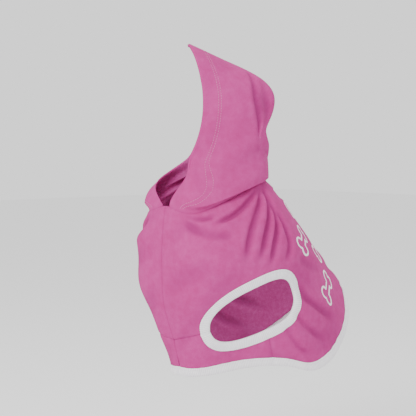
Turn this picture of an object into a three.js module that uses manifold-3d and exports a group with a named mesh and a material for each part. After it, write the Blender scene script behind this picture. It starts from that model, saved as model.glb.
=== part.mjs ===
// Hooded coat for a middle-sized dog, in the shape it has when worn: knitted cloth round chest, back
// and neck, the hood drawn up and turned to the right with the head, white binding on the raw edges.
// Millimetres. -X is the chest, -Y the wearer's left, +Z up. The origin is the middle of the neck seam.
import * as THREE from 'three';
import { mergeVertices } from 'three/addons/utils/BufferGeometryUtils.js';
import Module from 'manifold-3d';

const wasm = await Module();
wasm.setup();

// Cloth
const wall = 2; // thickness of the knit
const seamGap = 0.4; // between two panels that are sewn to each other
const foldSpread = 11; // half width of an ordinary fold
const foldDepth = 4; // how deep an ordinary fold runs
const rollHeight = 5; // how far the hood bulges over the neck seam

// Body
const frontHeight = 207; // chest hem to neck seam at the centre front
const backReach = 297; // front of the chest to the far end of the back
const chestWidth = 182; // widest, behind the shoulders
const flankDrop = 60; // how far the hem hangs below its straight line at the flanks

// Neck seam
const neckSetback = 2; // throat behind the front of the chest
const neckLength = 143; // throat to nape
const neckWidth = 120; // side to side
const neckRise = 34; // nape above throat
const neckDip = 13; // sag beside the throat

// Hood
const hoodHeight = 161; // nape to the tip above the brow
const hoodReach = 95; // nape forward to the tip
const hoodWidth = 130; // widest, over the ears
const openingBow = 40; // how far the opening's edge bows back over the cheek
const openingHem = 19; // width of the turned in edge
const hemFold = 1.3; // what the turned in edge adds to the wall
const headTurn = 42; // degrees to the wearer's right
const turnRise = 62; // height above the seam over which the hood turns

// Armholes and bindings
const armholeLength = 114;
const armholeHeight = 66;
const armholeTilt = 25; // degrees, the front end lower
const armholePlace = { back: 0.286, up: 0.367 }; // its centre, in shares of backReach and frontHeight
const armholeSquare = 2.4; // 2 is an ellipse, more is squarer
const bindingWidth = 10;
const bindingThickness = 1.2;
const bindingGap = 0.8; // binding to the cloth that it clasps

// Panels: where their seams run, in degrees round from the centre front and as shares up the body
const sideSeam = 76;
const crossSeamFront = 0.195;
const crossSeamSlope = 0.001; // share for each degree

// Grid of the faceted walls
const grid = { frontColumns: 10, backColumns: 18, lowRows: 4, highRows: 16, hoodColumns: 15, hoodRows: 20 };
const stations = { armhole: 52, hem: 88 };

// Sections of the body from hem to neck. frontX, backX are shares of backReach, frontZ, backZ of
// frontHeight, half of chestWidth / 2. Pinch narrows the chest, square makes its front blunter.
const bodyTable = [
  { up: 0.0, frontX: 0.094, frontZ: -0.019, backX: 1.0, backZ: 0.469, half: 0.879, pinch: 0.32, square: 0.3 },
  { up: 0.2, frontX: 0.051, frontZ: 0.193, backX: 0.902, backZ: 0.609, half: 0.934, pinch: 0.27, square: 0.34 },
  { up: 0.4, frontX: 0.0, frontZ: 0.406, backX: 0.795, backZ: 0.749, half: 0.978, pinch: 0.11, square: 0.42 },
  { up: 0.6, frontX: -0.013, frontZ: 0.609, backX: 0.684, backZ: 0.894, half: 1.0, pinch: 0, square: 0.44 },
  { up: 0.8, frontX: -0.01, frontZ: 0.802, backX: 0.576, backZ: 1.034, half: 0.912, pinch: 0, square: 0.46 },
];
const sections = bodyTable.map((row) => ({
  ...row,
  frontX: row.frontX * backReach,
  frontZ: row.frontZ * frontHeight,
  backX: row.backX * backReach,
  backZ: row.backZ * frontHeight,
  half: (row.half * chestWidth) / 2,
}));
sections.push({
  up: 1,
  frontX: neckSetback,
  frontZ: frontHeight,
  backX: neckSetback + neckLength,
  backZ: frontHeight + neckRise,
  half: neckWidth / 2,
  pinch: 0,
  square: 0.5,
});

const pinchEnd = { from: 52, to: 95 }; // degrees over which the narrowed chest widens to the flanks
const hemReach = 1.3; // powers with which the hem's hang and the neck's sag fade over the body
const neckReach = 3;

// How far the hem hangs and the neck seam sags, by degrees from the centre front, in shares of
// flankDrop and of neckDip. The first and last rows only make the curves level at both centres.
const hemTable = [
  { degrees: -35, drop: 0.07 },
  { degrees: 0, drop: 0 },
  { degrees: 35, drop: 0.07 },
  { degrees: 62, drop: 0.23 },
  { degrees: 80, drop: 0.53 },
  { degrees: 95, drop: 0.92 },
  { degrees: 108, drop: 1 },
  { degrees: 119, drop: 0.95 },
  { degrees: 141, drop: 0.7 },
  { degrees: 160, drop: 0.25 },
  { degrees: 180, drop: 0 },
  { degrees: 200, drop: 0.25 },
];
const neckTable = [
  { degrees: -25, dip: 0.69 },
  { degrees: 0, dip: 0.23 },
  { degrees: 25, dip: 0.69 },
  { degrees: 48, dip: 1 },
  { degrees: 75, dip: 0.62 },
  { degrees: 100, dip: 0.15 },
  { degrees: 130, dip: 0 },
  { degrees: 180, dip: 0 },
];

// The hood's ridge from the tip (along 0) to the nape (along 1), and the place on the neck seam below
// each point. back is measured behind the nape in shares of hoodReach, up above it in shares of
// hoodHeight, round is the rounding of the crown in shares of hoodWidth / 2.
const ridgeTable = [
  { along: 0.0, back: -1.0, up: 1.0, degrees: 7, round: 0.86 },
  { along: 0.2, back: -0.589, up: 0.888, degrees: 46, round: 0.89 },
  { along: 0.38, back: -0.2, up: 0.783, degrees: 82, round: 0.83 },
  { along: 0.5, back: 0.0, up: 0.705, degrees: 104, round: 0.52 },
  { along: 0.6, back: 0.11, up: 0.609, degrees: 121, round: 0.31 },
  { along: 0.7, back: 0.084, up: 0.494, degrees: 136, round: 0.25 },
  { along: 0.8, back: -0.016, up: 0.385, degrees: 150, round: 0.25 },
  { along: 0.9, back: 0.026, up: 0.273, degrees: 165, round: 0.25 },
  { along: 1.0, back: 0.053, up: 0.168, degrees: 180, round: 0.25 },
];

// Shares up the hood below which its opening edge and its sides still keep to the neck seam.
const hoodLoose = { bow: 0.18, sides: 0.16 };

// Level sections of the hood: up as above, half in shares of hoodWidth / 2, centre and back behind the
// nape, and the valley fold that divides the pouch from the head, in shares of hoodReach.
const levelTable = [
  { up: -0.255, half: 0.923, centre: -0.747, back: 0.03, fold: 0 },
  { up: 0.0, half: 0.923, centre: -0.747, back: 0.03, fold: -0.005 },
  { up: 0.168, half: 0.923, centre: -0.72, back: 0.08, fold: -0.01 },
  { up: 0.366, half: 0.923, centre: -0.66, back: 0.075, fold: -0.02 },
  { up: 0.44, half: 0.938, centre: -0.65, back: 0.1, fold: -0.042 },
  { up: 0.553, half: 0.969, centre: -0.642, back: 0.179, fold: -0.07 },
  { up: 0.739, half: 1.0, centre: -0.663, back: 0.242, fold: -0.135 },
  { up: 0.888, half: 0.985, centre: -0.684, back: 0.242, fold: -0.221 },
  { up: 1.02, half: 0.954, centre: -0.684, back: 0.242, fold: -0.3 },
];
const pouch = { bottom: 0.35, foot: 0.44, shoulder: 0.75, top: 0.85, flat: 0.45, before: -0.03, behind: 0.075 };

// Main folds of the body: a valley from one place to another, with side 1 on the wearer's right and -1
// on the left. from and to are shares up the body and degrees from the centre front, spread and depth
// shares of foldSpread and foldDepth, bow bends the valley forwards in shares of its own length.
const bodyFolds = [
  { side: -1, fromUp: 0.98, fromDegrees: 106, toUp: 0.6, toDegrees: 70, bow: 0.1, spread: 0.9, depth: 1 },
  { side: -1, fromUp: 0.94, fromDegrees: 122, toUp: 0.56, toDegrees: 92, bow: -0.08, spread: 0.95, depth: 1.1 },
  { side: -1, fromUp: 0.99, fromDegrees: 100, toUp: 0.89, toDegrees: 60, bow: -0.1, spread: 0.7, depth: 1 },
  { side: -1, fromUp: 0.93, fromDegrees: 30, toUp: 0.78, toDegrees: 66, bow: 0.1, spread: 1.4, depth: 0.8 },
  { side: -1, fromUp: 0.44, fromDegrees: 106, toUp: 0.14, toDegrees: 128, bow: 0.1, spread: 1.1, depth: 1 },
  { side: 1, fromUp: 0.97, fromDegrees: 104, toUp: 0.62, toDegrees: 72, bow: 0.08, spread: 1, depth: 1 },
  { side: 1, fromUp: 0.94, fromDegrees: 124, toUp: 0.58, toDegrees: 94, bow: -0.07, spread: 1, depth: 1 },
  { side: 1, fromUp: 0.94, fromDegrees: 36, toUp: 0.8, toDegrees: 66, bow: 0.1, spread: 1.4, depth: 0.9 },
  { side: 1, fromUp: 0.42, fromDegrees: 108, toUp: 0.14, toDegrees: 130, bow: 0.08, spread: 1.1, depth: 1 },
];
// Folds of the hood, in the same columns, with along and up on each panel as shares.
const hoodFolds = [
  { side: -1, fromAlong: 0.62, fromUp: 0.34, toAlong: 0.3, toUp: 0.2, bow: 0.1, spread: 1.1, depth: 0.8 },
  { side: 1, fromAlong: 0.65, fromUp: 0.36, toAlong: 0.35, toUp: 0.18, bow: -0.1, spread: 1.1, depth: 0.9 },
];
// Folds fade out towards both centres, in degrees, towards the neck seam, as a share up the body, and
// towards the edges of each hood panel, as shares.
const centreFade = 12;
const neckFade = 0.93;
const ridgeLength = 1.6; // of the hood's ridge, in shares of hoodReach
const hoodFade = { foot: 0.06, ridge: 0.8, nape: 0.8 };
// Where the roll above the neck seam lies, as shares up a hood panel, and where it fades out along it.
const roll = { foot: 0, crest: 0.07, fall: 0.1, end: 0.24, fromAlong: 0.04, fullAlong: 0.2 };

const radians = (degrees) => (degrees * Math.PI) / 180;
const clamp = (value, low, high) => Math.min(Math.max(value, low), high);

// Smooth curve through one column of a table, read at a place along another column.
function readTable(table, place, at, name) {
  const here = clamp(at, table[0][place], table[table.length - 1][place]);
  let i = 0;
  while (i < table.length - 2 && here > table[i + 1][place]) i += 1;
  const slope = (k) => {
    const before = table[Math.max(k - 1, 0)];
    const after = table[Math.min(k + 1, table.length - 1)];
    return (after[name] - before[name]) / (after[place] - before[place]);
  };
  const span = table[i + 1][place] - table[i][place];
  const t = (here - table[i][place]) / span;
  return (
    (2 * t ** 3 - 3 * t ** 2 + 1) * table[i][name] +
    (t ** 3 - 2 * t ** 2 + t) * span * slope(i) +
    (3 * t ** 2 - 2 * t ** 3) * table[i + 1][name] +
    (t ** 3 - t ** 2) * span * slope(i + 1)
  );
}

function smoothStep(low, high, value) {
  const t = clamp((value - low) / (high - low), 0, 1);
  return t * t * (3 - 2 * t);
}

// Height of one fold at a place on flattened cloth: a valley with a raised shoulder on both sides,
// fading out at its ends.
function foldHeight(x, y, from, to, bow, spread, depth) {
  const run = new THREE.Vector2().subVectors(to, from);
  const length = run.length();
  const away = new THREE.Vector2(x, y).sub(from);
  const share = away.dot(run) / length ** 2;
  const ends = smoothStep(-0.1, 0.2, share) * (1 - smoothStep(0.8, 1.1, share));
  const bend = bow * length * Math.sin(Math.PI * clamp(share, 0, 1));
  const off = (away.cross(run) / length - bend) / spread;
  return -depth * ends * (1 - off ** 2) * Math.exp(-(off ** 2) / 1.5);
}

// Direction out of a surface, from points close by. over and under name its two directions.
function outwardNormal(surface, over, under) {
  const step = 1e-3;
  const alongOver = surface(over + step, under).sub(surface(over - step, under));
  const alongUnder = surface(over, under + step).sub(surface(over, under - step));
  return alongUnder.cross(alongOver).normalize();
}

// Body without folds: turn 0 at the centre front, a quarter at the wearer's right, a half at the back.
function bodyBase(turn, up) {
  const angle = 2 * Math.PI * turn;
  const round = Math.abs(Math.atan2(Math.sin(angle), Math.cos(angle)));
  const side = Math.sin(angle) < 0 ? -1 : 1;
  const degrees = (round * 180) / Math.PI;
  const level = clamp(up, 0, 1);
  const at = (name) => readTable(sections, 'up', level, name);
  const blunt = (at('square') * (1 + Math.cos(round))) / 2;
  const back = (1 - Math.cos(round) * (1 + blunt * Math.sin(round) ** 2)) / 2;
  const pinched = 1 - at('pinch') * (1 - smoothStep(pinchEnd.from, pinchEnd.to, degrees));
  const drop = flankDrop * readTable(hemTable, 'degrees', degrees, 'drop') * (1 - level) ** hemReach;
  const dip = neckDip * readTable(neckTable, 'degrees', degrees, 'dip') * level ** neckReach;
  return new THREE.Vector3(
    at('frontX') + (at('backX') - at('frontX')) * back,
    side * at('half') * Math.sin(round) * pinched,
    at('frontZ') + (at('backZ') - at('frontZ')) * back - drop - dip
  );
}

// How far the body's folds lift or sink it. The cloth is laid flat by its width and its height.
function bodyRelief(turn, up) {
  const whole = turn - Math.floor(turn);
  const side = whole > 0.5 ? -1 : 1;
  const degrees = 360 * (side > 0 ? whole : 1 - whole);
  const flat = (share, angle) => new THREE.Vector2((radians(angle) * chestWidth) / 2, share * frontHeight);
  const here = flat(up, degrees);
  let height = 0;
  for (const fold of bodyFolds.filter((row) => row.side === side)) {
    const from = flat(fold.fromUp, fold.fromDegrees);
    const to = flat(fold.toUp, fold.toDegrees);
    const [spread, depth] = [fold.spread * foldSpread, fold.depth * foldDepth];
    height += foldHeight(here.x, here.y, from, to, fold.bow, spread, depth);
  }
  const sides = smoothStep(0, centreFade, degrees) * (1 - smoothStep(180 - centreFade, 180, degrees));
  return height * sides * (1 - smoothStep(neckFade, 1, up));
}

function bodyFace(turn, up) {
  return bodyBase(turn, up).addScaledVector(outwardNormal(bodyBase, turn, up), bodyRelief(turn, up));
}

const nape = bodyBase(0.5, 1);

// Half width of the hood at a place seen from the side: rounded at the back, and flatter in the pouch
// behind the fold at the hood's back corner.
function hoodHalfWidth(x, z) {
  const up = (z - nape.z) / hoodHeight;
  const back = (x - nape.x) / hoodReach;
  const at = (name) => readTable(levelTable, 'up', up, name);
  const rounding = clamp((back - at('centre')) / (at('back') - at('centre')), 0, 0.995);
  const behind = smoothStep(pouch.before, pouch.behind, back - at('fold'));
  const lifted = smoothStep(pouch.bottom, pouch.foot, up) * (1 - smoothStep(pouch.shoulder, pouch.top, up));
  return ((at('half') * hoodWidth) / 2) * Math.sqrt(1 - rounding ** 2) * (1 - pouch.flat * behind * lifted);
}

// Hood looking straight ahead, without folds: along 0 at the opening, 1 at the nape, up 0 at the neck
// seam, 1 at the ridge. Past the ridge and the nape it goes on into the other panel.
function hoodBase(along, up, side) {
  if (up > 1) return hoodBase(along, 2 - up, -side);
  if (along > 1) return hoodBase(2 - along, up, -side);
  const [a, b] = [Math.max(along, 0), Math.max(up, 0)];
  const at = (name) => readTable(ridgeTable, 'along', a, name);
  const seam = bodyBase(at('degrees') / 360, 1);
  const ridge = { x: nape.x + at('back') * hoodReach, z: nape.z + at('up') * hoodHeight };
  const share = Math.sin((b * Math.PI) / 2);
  const bowed = Math.max(Math.sin(Math.PI * share ** 0.9), 0) ** 0.8 * smoothStep(0, hoodLoose.bow, b);
  const x = seam.x + (ridge.x - seam.x) * share + openingBow * bowed * (1 - a) ** 1.6;
  const z = seam.z + (ridge.z - seam.z) * share;
  const length = Math.hypot(ridge.x - seam.x, ridge.z - seam.z);
  const depth = Math.min((at('round') * hoodWidth) / 2, 0.9 * length);
  const crown = Math.sqrt(1 - (1 - clamp(((1 - share) * length) / depth, 0, 1)) ** 2);
  const closing = Math.sqrt(1 - (1 - clamp((1 - a) / 0.2, 0, 1)) ** 2);
  const full = hoodHalfWidth(x, z) * closing;
  const loose = smoothStep(0, hoodLoose.sides, b);
  return new THREE.Vector3(x, side * crown * (seam.y + (full - seam.y) * loose), z);
}

function hoodRelief(along, up, side) {
  const flat = (a, b) => new THREE.Vector2(a * ridgeLength * hoodReach, b * hoodHeight);
  const here = flat(along, up);
  let height = 0;
  for (const fold of hoodFolds.filter((row) => row.side === side)) {
    const from = flat(fold.fromAlong, fold.fromUp);
    const to = flat(fold.toAlong, fold.toUp);
    const [spread, depth] = [fold.spread * foldSpread, fold.depth * foldDepth];
    height += foldHeight(here.x, here.y, from, to, fold.bow, spread, depth);
  }
  const bulge = smoothStep(roll.foot, roll.crest, up) * (1 - smoothStep(roll.fall, roll.end, up));
  const rolled = rollHeight * bulge * smoothStep(roll.fromAlong, roll.fullAlong, along);
  const folded = height * smoothStep(0, hoodFade.foot, up) * (1 - smoothStep(hoodFade.ridge, 1, up));
  return (folded + rolled) * (1 - smoothStep(hoodFade.nape, 1, along));
}

function hoodFace(along, up, side) {
  if (up > 1) return hoodFace(along, 2 - up, -side);
  if (along > 1) return hoodFace(2 - along, up, -side);
  const normal = outwardNormal((a, b) => hoodBase(a, b, side), along, up).multiplyScalar(side);
  return hoodBase(along, up, side).addScaledVector(normal, hoodRelief(along, up, side));
}

// Turns a point of the hood with the head, more the higher it is above the neck seam.
function turned(point, rise) {
  const centre = neckSetback + neckLength / 2;
  const angle = radians(headTurn) * smoothStep(0, turnRise, rise);
  const axis = new THREE.Vector3(0, 0, 1);
  return point.clone().setX(point.x - centre).applyAxisAngle(axis, -angle).add(new THREE.Vector3(centre, 0, 0));
}

// Turns a closed mesh's faces outwards.
function closed(positions, triangles) {
  let volume = 0;
  for (const [a, b, c] of triangles) {
    volume += positions[a].dot(new THREE.Vector3().crossVectors(positions[b], positions[c]));
  }
  const index = triangles.flatMap(([a, b, c]) => (volume > 0 ? [a, b, c] : [a, c, b]));
  const geometry = new THREE.BufferGeometry().setFromPoints(positions);
  return geometry.setIndex(index);
}

// One closed wall from a grid of places: wallAt gives the cloth's face and back at each, and has says
// which cells of the grid are cloth.
function wallGeometry(columns, rows, wallAt, has = () => true) {
  const isCloth = (i, j) => i >= 0 && j >= 0 && i < columns - 1 && j < rows - 1 && has(i, j);
  const positions = [];
  const known = new Map();
  const corner = (i, j, layer) => {
    const key = (i * rows + j) * 2;
    if (!known.has(key)) {
      known.set(key, positions.length);
      const { face, back } = wallAt(i, j);
      positions.push(face, back);
    }
    return known.get(key) + layer;
  };
  const triangles = [];
  const quad = (a, b, c, d) => triangles.push([a, b, c], [a, c, d]);
  const rim = (i, j, k, l) => quad(corner(i, j, 0), corner(i, j, 1), corner(k, l, 1), corner(k, l, 0));
  for (let i = 0; i < columns - 1; i += 1) {
    for (let j = 0; j < rows - 1; j += 1) {
      if (!isCloth(i, j)) continue;
      quad(corner(i, j, 0), corner(i + 1, j, 0), corner(i + 1, j + 1, 0), corner(i, j + 1, 0));
      quad(corner(i, j, 1), corner(i, j + 1, 1), corner(i + 1, j + 1, 1), corner(i + 1, j, 1));
      if (!isCloth(i, j - 1)) rim(i, j, i + 1, j);
      if (!isCloth(i + 1, j)) rim(i + 1, j, i + 1, j + 1);
      if (!isCloth(i, j + 1)) rim(i + 1, j + 1, i, j + 1);
      if (!isCloth(i - 1, j)) rim(i, j + 1, i, j);
    }
  }
  return closed(positions, triangles);
}

// A closed loop with one profile at each station.
function loopGeometry(profiles) {
  const size = profiles[0].length;
  const positions = profiles.flat();
  const triangles = [];
  profiles.forEach((_, i) => {
    const next = (i + 1) % profiles.length;
    for (let j = 0; j < size; j += 1) {
      const k = (j + 1) % size;
      triangles.push([i * size + j, next * size + j, next * size + k]);
      triangles.push([i * size + j, next * size + k, i * size + k]);
    }
  });
  return closed(positions, triangles);
}

function toSolid(geometry) {
  geometry.deleteAttribute('normal');
  geometry.deleteAttribute('uv');
  const merged = mergeVertices(geometry);
  const vertProperties = new Float32Array(merged.attributes.position.array);
  const triVerts = new Uint32Array(merged.index.array);
  return new wasm.Manifold(new wasm.Mesh({ numProp: 3, vertProperties, triVerts }));
}

function fromSolid(solid) {
  const mesh = solid.getMesh();
  const geometry = new THREE.BufferGeometry();
  geometry.setAttribute('position', new THREE.BufferAttribute(new Float32Array(mesh.vertProperties), 3));
  return geometry.setIndex(new THREE.BufferAttribute(new Uint32Array(mesh.triVerts), 1));
}

// Outline of an armhole seen from the side, a rounded lozenge, grown by a margin.
function armholeOutline(angle, margin) {
  const power = 2 / armholeSquare;
  const bulge = (value) => Math.sign(value) * Math.abs(value) ** power;
  const long = (armholeLength / 2 + margin) * bulge(Math.cos(angle));
  const high = (armholeHeight / 2 + margin) * bulge(Math.sin(angle));
  const tilt = radians(armholeTilt);
  const centre = { x: armholePlace.back * backReach, z: armholePlace.up * frontHeight };
  return new THREE.Vector2(
    centre.x + long * Math.cos(tilt) - high * Math.sin(tilt),
    centre.z + long * Math.sin(tilt) + high * Math.cos(tilt)
  );
}

function armholeCutter(side) {
  const outline = [];
  for (let i = 0; i < stations.armhole; i += 1) {
    outline.push(armholeOutline((2 * Math.PI * i) / stations.armhole, 0));
  }
  const cutter = new THREE.ExtrudeGeometry(new THREE.Shape(outline), { depth: chestWidth, bevelEnabled: false });
  cutter.rotateX(Math.PI / 2);
  cutter.translate(0, side > 0 ? 1.1 * chestWidth : -0.1 * chestWidth, 0);
  return toSolid(cutter);
}

// Place on one side of the body that is seen from the side at a given point, by Newton's method.
function placeOnSide(target, side) {
  const step = 1e-4;
  let [degrees, up] = [75, 0.35];
  const at = (angle, share) => bodyFace((side * angle) / 360, share);
  for (let i = 0; i < 25; i += 1) {
    const here = at(degrees, up);
    const overDegrees = at(degrees + step, up).sub(here).divideScalar(step);
    const overUp = at(degrees, up + step).sub(here).divideScalar(step);
    const miss = { x: target.x - here.x, z: target.y - here.z };
    const size = overDegrees.x * overUp.z - overDegrees.z * overUp.x;
    degrees += clamp((miss.x * overUp.z - miss.z * overUp.x) / size, -12, 12);
    up += clamp((overDegrees.x * miss.z - overDegrees.z * miss.x) / size, -0.1, 0.1);
  }
  return { turn: (side * degrees) / 360, up };
}

// U-shaped profile that clasps an edge of the cloth. pointAt and normalAt give the cloth's face at a
// distance into the cloth, with a negative distance past its edge.
function bindingProfile(pointAt, normalAt) {
  const outer = bindingGap + bindingThickness;
  const corners = [
    { into: bindingWidth, over: outer },
    { into: bindingWidth / 2, over: outer },
    { into: -outer, over: 0.4 * outer },
    { into: -outer, over: -wall - 0.4 * outer },
    { into: bindingWidth / 2, over: -wall - outer },
    { into: bindingWidth, over: -wall - outer },
    { into: bindingWidth, over: -wall - bindingGap },
    { into: -bindingGap, over: -wall - bindingGap },
    { into: -bindingGap, over: bindingGap },
    { into: bindingWidth, over: bindingGap },
  ];
  return corners.map(({ into, over }) => pointAt(into).addScaledVector(normalAt(into), over));
}

function armholeBinding(side) {
  const profiles = [];
  for (let i = 0; i < stations.armhole; i += 1) {
    const angle = (2 * Math.PI * i) / stations.armhole;
    const faceAt = (margin) => {
      const place = placeOnSide(armholeOutline(angle, margin), side);
      return { point: bodyFace(place.turn, place.up), normal: outwardNormal(bodyFace, place.turn, place.up) };
    };
    const stretch = faceAt(1).point.distanceTo(faceAt(0).point);
    const at = (into) => faceAt(into / stretch);
    profiles.push(bindingProfile((into) => at(into).point, (into) => at(into).normal));
  }
  return loopGeometry(profiles);
}

function hemBinding() {
  const profiles = [];
  for (let i = 0; i < stations.hem; i += 1) {
    const turn = (i + 0.5) / stations.hem;
    const edge = bodyFace(turn, 0);
    const slope = bodyFace(turn, 0.01).sub(edge).divideScalar(0.01);
    const upAt = (into) => Math.max(into, 0) / slope.length();
    const past = slope.clone().normalize();
    const pointAt = (into) => bodyFace(turn, upAt(into)).addScaledVector(past, Math.min(into, 0));
    profiles.push(bindingProfile(pointAt, (into) => outwardNormal(bodyFace, turn, upAt(into))));
  }
  return loopGeometry(profiles);
}

// Height of the cross seam, and where a grid row lies above or below it.
const crossSeamAt = (degrees) => crossSeamFront + crossSeamSlope * Math.min(degrees, sideSeam);

function rowHeight(row, degrees) {
  const cross = crossSeamAt(degrees);
  if (row <= grid.lowRows) return (cross * row) / grid.lowRows;
  return cross + ((1 - cross) * (row - grid.lowRows)) / grid.highRows;
}

// Gap of a seam in degrees round the body.
const seamMargin = ((seamGap / chestWidth) * 360) / Math.PI;

// Columns of the body panel in degrees from the centre front, once round the wearer.
function bodyColumns() {
  const half = [seamMargin / 2];
  for (let i = 1; i <= grid.frontColumns; i += 1) half.push((sideSeam * i) / grid.frontColumns);
  for (let i = 1; i <= grid.backColumns; i += 1) half.push(sideSeam + ((180 - sideSeam) * i) / grid.backColumns);
  return [...half, ...half.slice(0, -1).reverse().map((degrees) => 360 - degrees)];
}

function bodyWall(turn, up) {
  const face = bodyFace(turn, up);
  return { face, back: face.clone().addScaledVector(outwardNormal(bodyFace, turn, up), -wall) };
}

function bodyPanel() {
  const columns = bodyColumns();
  const rows = grid.lowRows + grid.highRows + 1;
  const fromFront = (degrees) => Math.min(degrees, 360 - degrees);
  const wallAt = (i, j) => {
    const front = fromFront(columns[i]);
    const atCross = j === grid.lowRows && front < sideSeam;
    const up = rowHeight(j, front) + (atCross ? seamGap / frontHeight : 0);
    return bodyWall(columns[i] / 360, up);
  };
  const behind = (i) => fromFront((columns[i] + columns[i + 1]) / 2) > sideSeam;
  const panel = wallGeometry(columns.length, rows, wallAt, (i, j) => j >= grid.lowRows || behind(i));
  return fromSolid(toSolid(panel).subtract(armholeCutter(1)).subtract(armholeCutter(-1)));
}

// Panel between the front legs: from the centre front seam round to the side seam, below the cross seam.
function bellyPanel(side) {
  const columns = grid.frontColumns + 1;
  const reach = sideSeam - 1.5 * seamMargin;
  const wallAt = (i, j) => {
    const degrees = seamMargin / 2 + (reach * i) / grid.frontColumns;
    const up = rowHeight(j, degrees) - (j === grid.lowRows ? seamGap / frontHeight / 2 : 0);
    return bodyWall((side * degrees) / 360, up);
  };
  const panel = wallGeometry(columns, grid.lowRows + 1, wallAt);
  return fromSolid(toSolid(panel).subtract(armholeCutter(side)));
}

// Share along the hood at which its turned in edge ends, at one height.
function hemEnd(up, side) {
  const probe = 0.05;
  return (probe * openingHem) / hoodBase(probe, up, side).distanceTo(hoodBase(0, up, side));
}

function hoodPanel(side) {
  const stepWidth = 0.012;
  const rowsLow = 1.35; // above 1 the rows crowd towards the neck seam
  const wallAt = (i, j) => {
    const up = (j / (grid.hoodRows - 1)) ** rowsLow;
    const end = hemEnd(up, side);
    const rest = (i - 2) / (grid.hoodColumns - 1);
    const along = i === 0 ? 0 : i === 1 ? end : end + stepWidth + (1 - end - stepWidth) * rest;
    const face = hoodFace(along, up, side);
    const normal = outwardNormal((a, b) => hoodFace(a, b, side), along, up).multiplyScalar(side);
    const back = face.clone().addScaledVector(normal, -wall - (i < 2 ? hemFold : 0));
    const rise = face.z - bodyBase(readTable(ridgeTable, 'along', along, 'degrees') / 360, 1).z;
    const apart = new THREE.Vector3(0, (side * seamGap) / 2, seamGap);
    return { face: turned(face.add(apart), rise), back: turned(back.add(apart), rise) };
  };
  return wallGeometry(grid.hoodColumns + 2, grid.hoodRows, wallAt);
}

const cloth = new THREE.MeshStandardMaterial({ color: 0xc7659c, roughness: 0.95, metalness: 0 });
const bindingTape = new THREE.MeshStandardMaterial({ color: 0xf4f2f5, roughness: 0.85, metalness: 0 });

function addPiece(parent, name, geometry, material) {
  const mesh = new THREE.Mesh(geometry, material.clone());
  mesh.name = name;
  parent.add(mesh);
}

const garment = new THREE.Group();
addPiece(garment, 'body_panel', bodyPanel(), cloth);
for (const [word, side] of [['left', -1], ['right', 1]]) {
  addPiece(garment, `belly_panel_${word}`, bellyPanel(side), cloth);
  addPiece(garment, `hood_panel_${word}`, hoodPanel(side), cloth);
  addPiece(garment, `armhole_binding_${word}`, armholeBinding(side), bindingTape);
}
addPiece(garment, 'hem_binding', hemBinding(), bindingTape);

const throat = bodyBase(0, 1);
garment.position.set(-(throat.x + nape.x) / 2, 0, -(throat.z + nape.z) / 2);
const group = new THREE.Group();
group.add(garment);

export default group;
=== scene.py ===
import math
import bpy
import numpy as np
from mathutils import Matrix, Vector


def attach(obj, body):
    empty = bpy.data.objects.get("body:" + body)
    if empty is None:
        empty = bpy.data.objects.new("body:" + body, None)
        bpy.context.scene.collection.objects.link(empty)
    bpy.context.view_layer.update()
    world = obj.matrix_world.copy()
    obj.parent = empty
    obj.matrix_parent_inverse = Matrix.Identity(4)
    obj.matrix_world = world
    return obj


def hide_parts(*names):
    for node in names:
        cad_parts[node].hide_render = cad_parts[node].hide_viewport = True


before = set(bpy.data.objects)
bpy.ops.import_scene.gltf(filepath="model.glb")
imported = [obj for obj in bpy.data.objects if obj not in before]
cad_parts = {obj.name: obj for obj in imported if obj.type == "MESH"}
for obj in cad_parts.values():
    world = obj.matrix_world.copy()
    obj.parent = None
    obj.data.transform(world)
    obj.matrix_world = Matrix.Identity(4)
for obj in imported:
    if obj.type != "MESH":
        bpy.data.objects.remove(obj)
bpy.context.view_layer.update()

print("frame loaded:", len(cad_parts), "nodes")

# Surface of the garment: millimetres from the chest hem, as in the CAD. -X chest, -Y wearer's left.
garment = {
    "frontHeight": 207, "backReach": 297, "chestWidth": 182, "flankDrop": 60,
    "neckSetback": 2, "neckLength": 143, "neckDip": 13,
    "hoodHeight": 161, "hoodReach": 95, "hoodWidth": 130, "openingBow": 40, "headTurn": 42,
    "turnRise": 62, "hemReach": 1.3, "neckReach": 3, "ridgeLength": 1.6,
    "sideSeam": 76, "crossSeamFront": 0.195, "crossSeamSlope": 0.001,
}
bodyHeight = garment["frontHeight"]
bodyShape = {  # sections from the hem to the neck seam, shares of the sizes above
    "up": [0, 0.2, 0.4, 0.6, 0.8, 1],
    "frontX": [0.094, 0.051, 0, -0.013, -0.01, 2 / 297],
    "frontZ": [-0.019, 0.193, 0.406, 0.609, 0.802, 1],
    "backX": [1, 0.902, 0.795, 0.684, 0.576, 145 / 297],
    "backZ": [0.469, 0.609, 0.749, 0.894, 1.034, 241 / 207],
    "half": [0.879, 0.934, 0.978, 1, 0.912, 120 / 182],
    "pinch": [0.32, 0.27, 0.11, 0, 0, 0],
    "square": [0.3, 0.34, 0.42, 0.44, 0.46, 0.5],
}
hemShape = {
    "degrees": [-35, 0, 35, 62, 80, 95, 108, 119, 141, 160, 180, 200],
    "drop": [0.07, 0, 0.07, 0.23, 0.53, 0.92, 1, 0.95, 0.7, 0.25, 0, 0.25],
}
neckShape = {
    "degrees": [-25, 0, 25, 48, 75, 100, 130, 180],
    "dip": [0.69, 0.23, 0.69, 1, 0.62, 0.15, 0, 0],
}
ridgeShape = {  # the hood's ridge from its tip to the nape
    "along": [0, 0.2, 0.38, 0.5, 0.6, 0.7, 0.8, 0.9, 1],
    "back": [-1, -0.589, -0.2, 0, 0.11, 0.084, -0.016, 0.026, 0.053],
    "up": [1, 0.888, 0.783, 0.705, 0.609, 0.494, 0.385, 0.273, 0.168],
    "degrees": [7, 46, 82, 104, 121, 136, 150, 165, 180],
    "round": [0.86, 0.89, 0.83, 0.52, 0.31, 0.25, 0.25, 0.25, 0.25],
}
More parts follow.
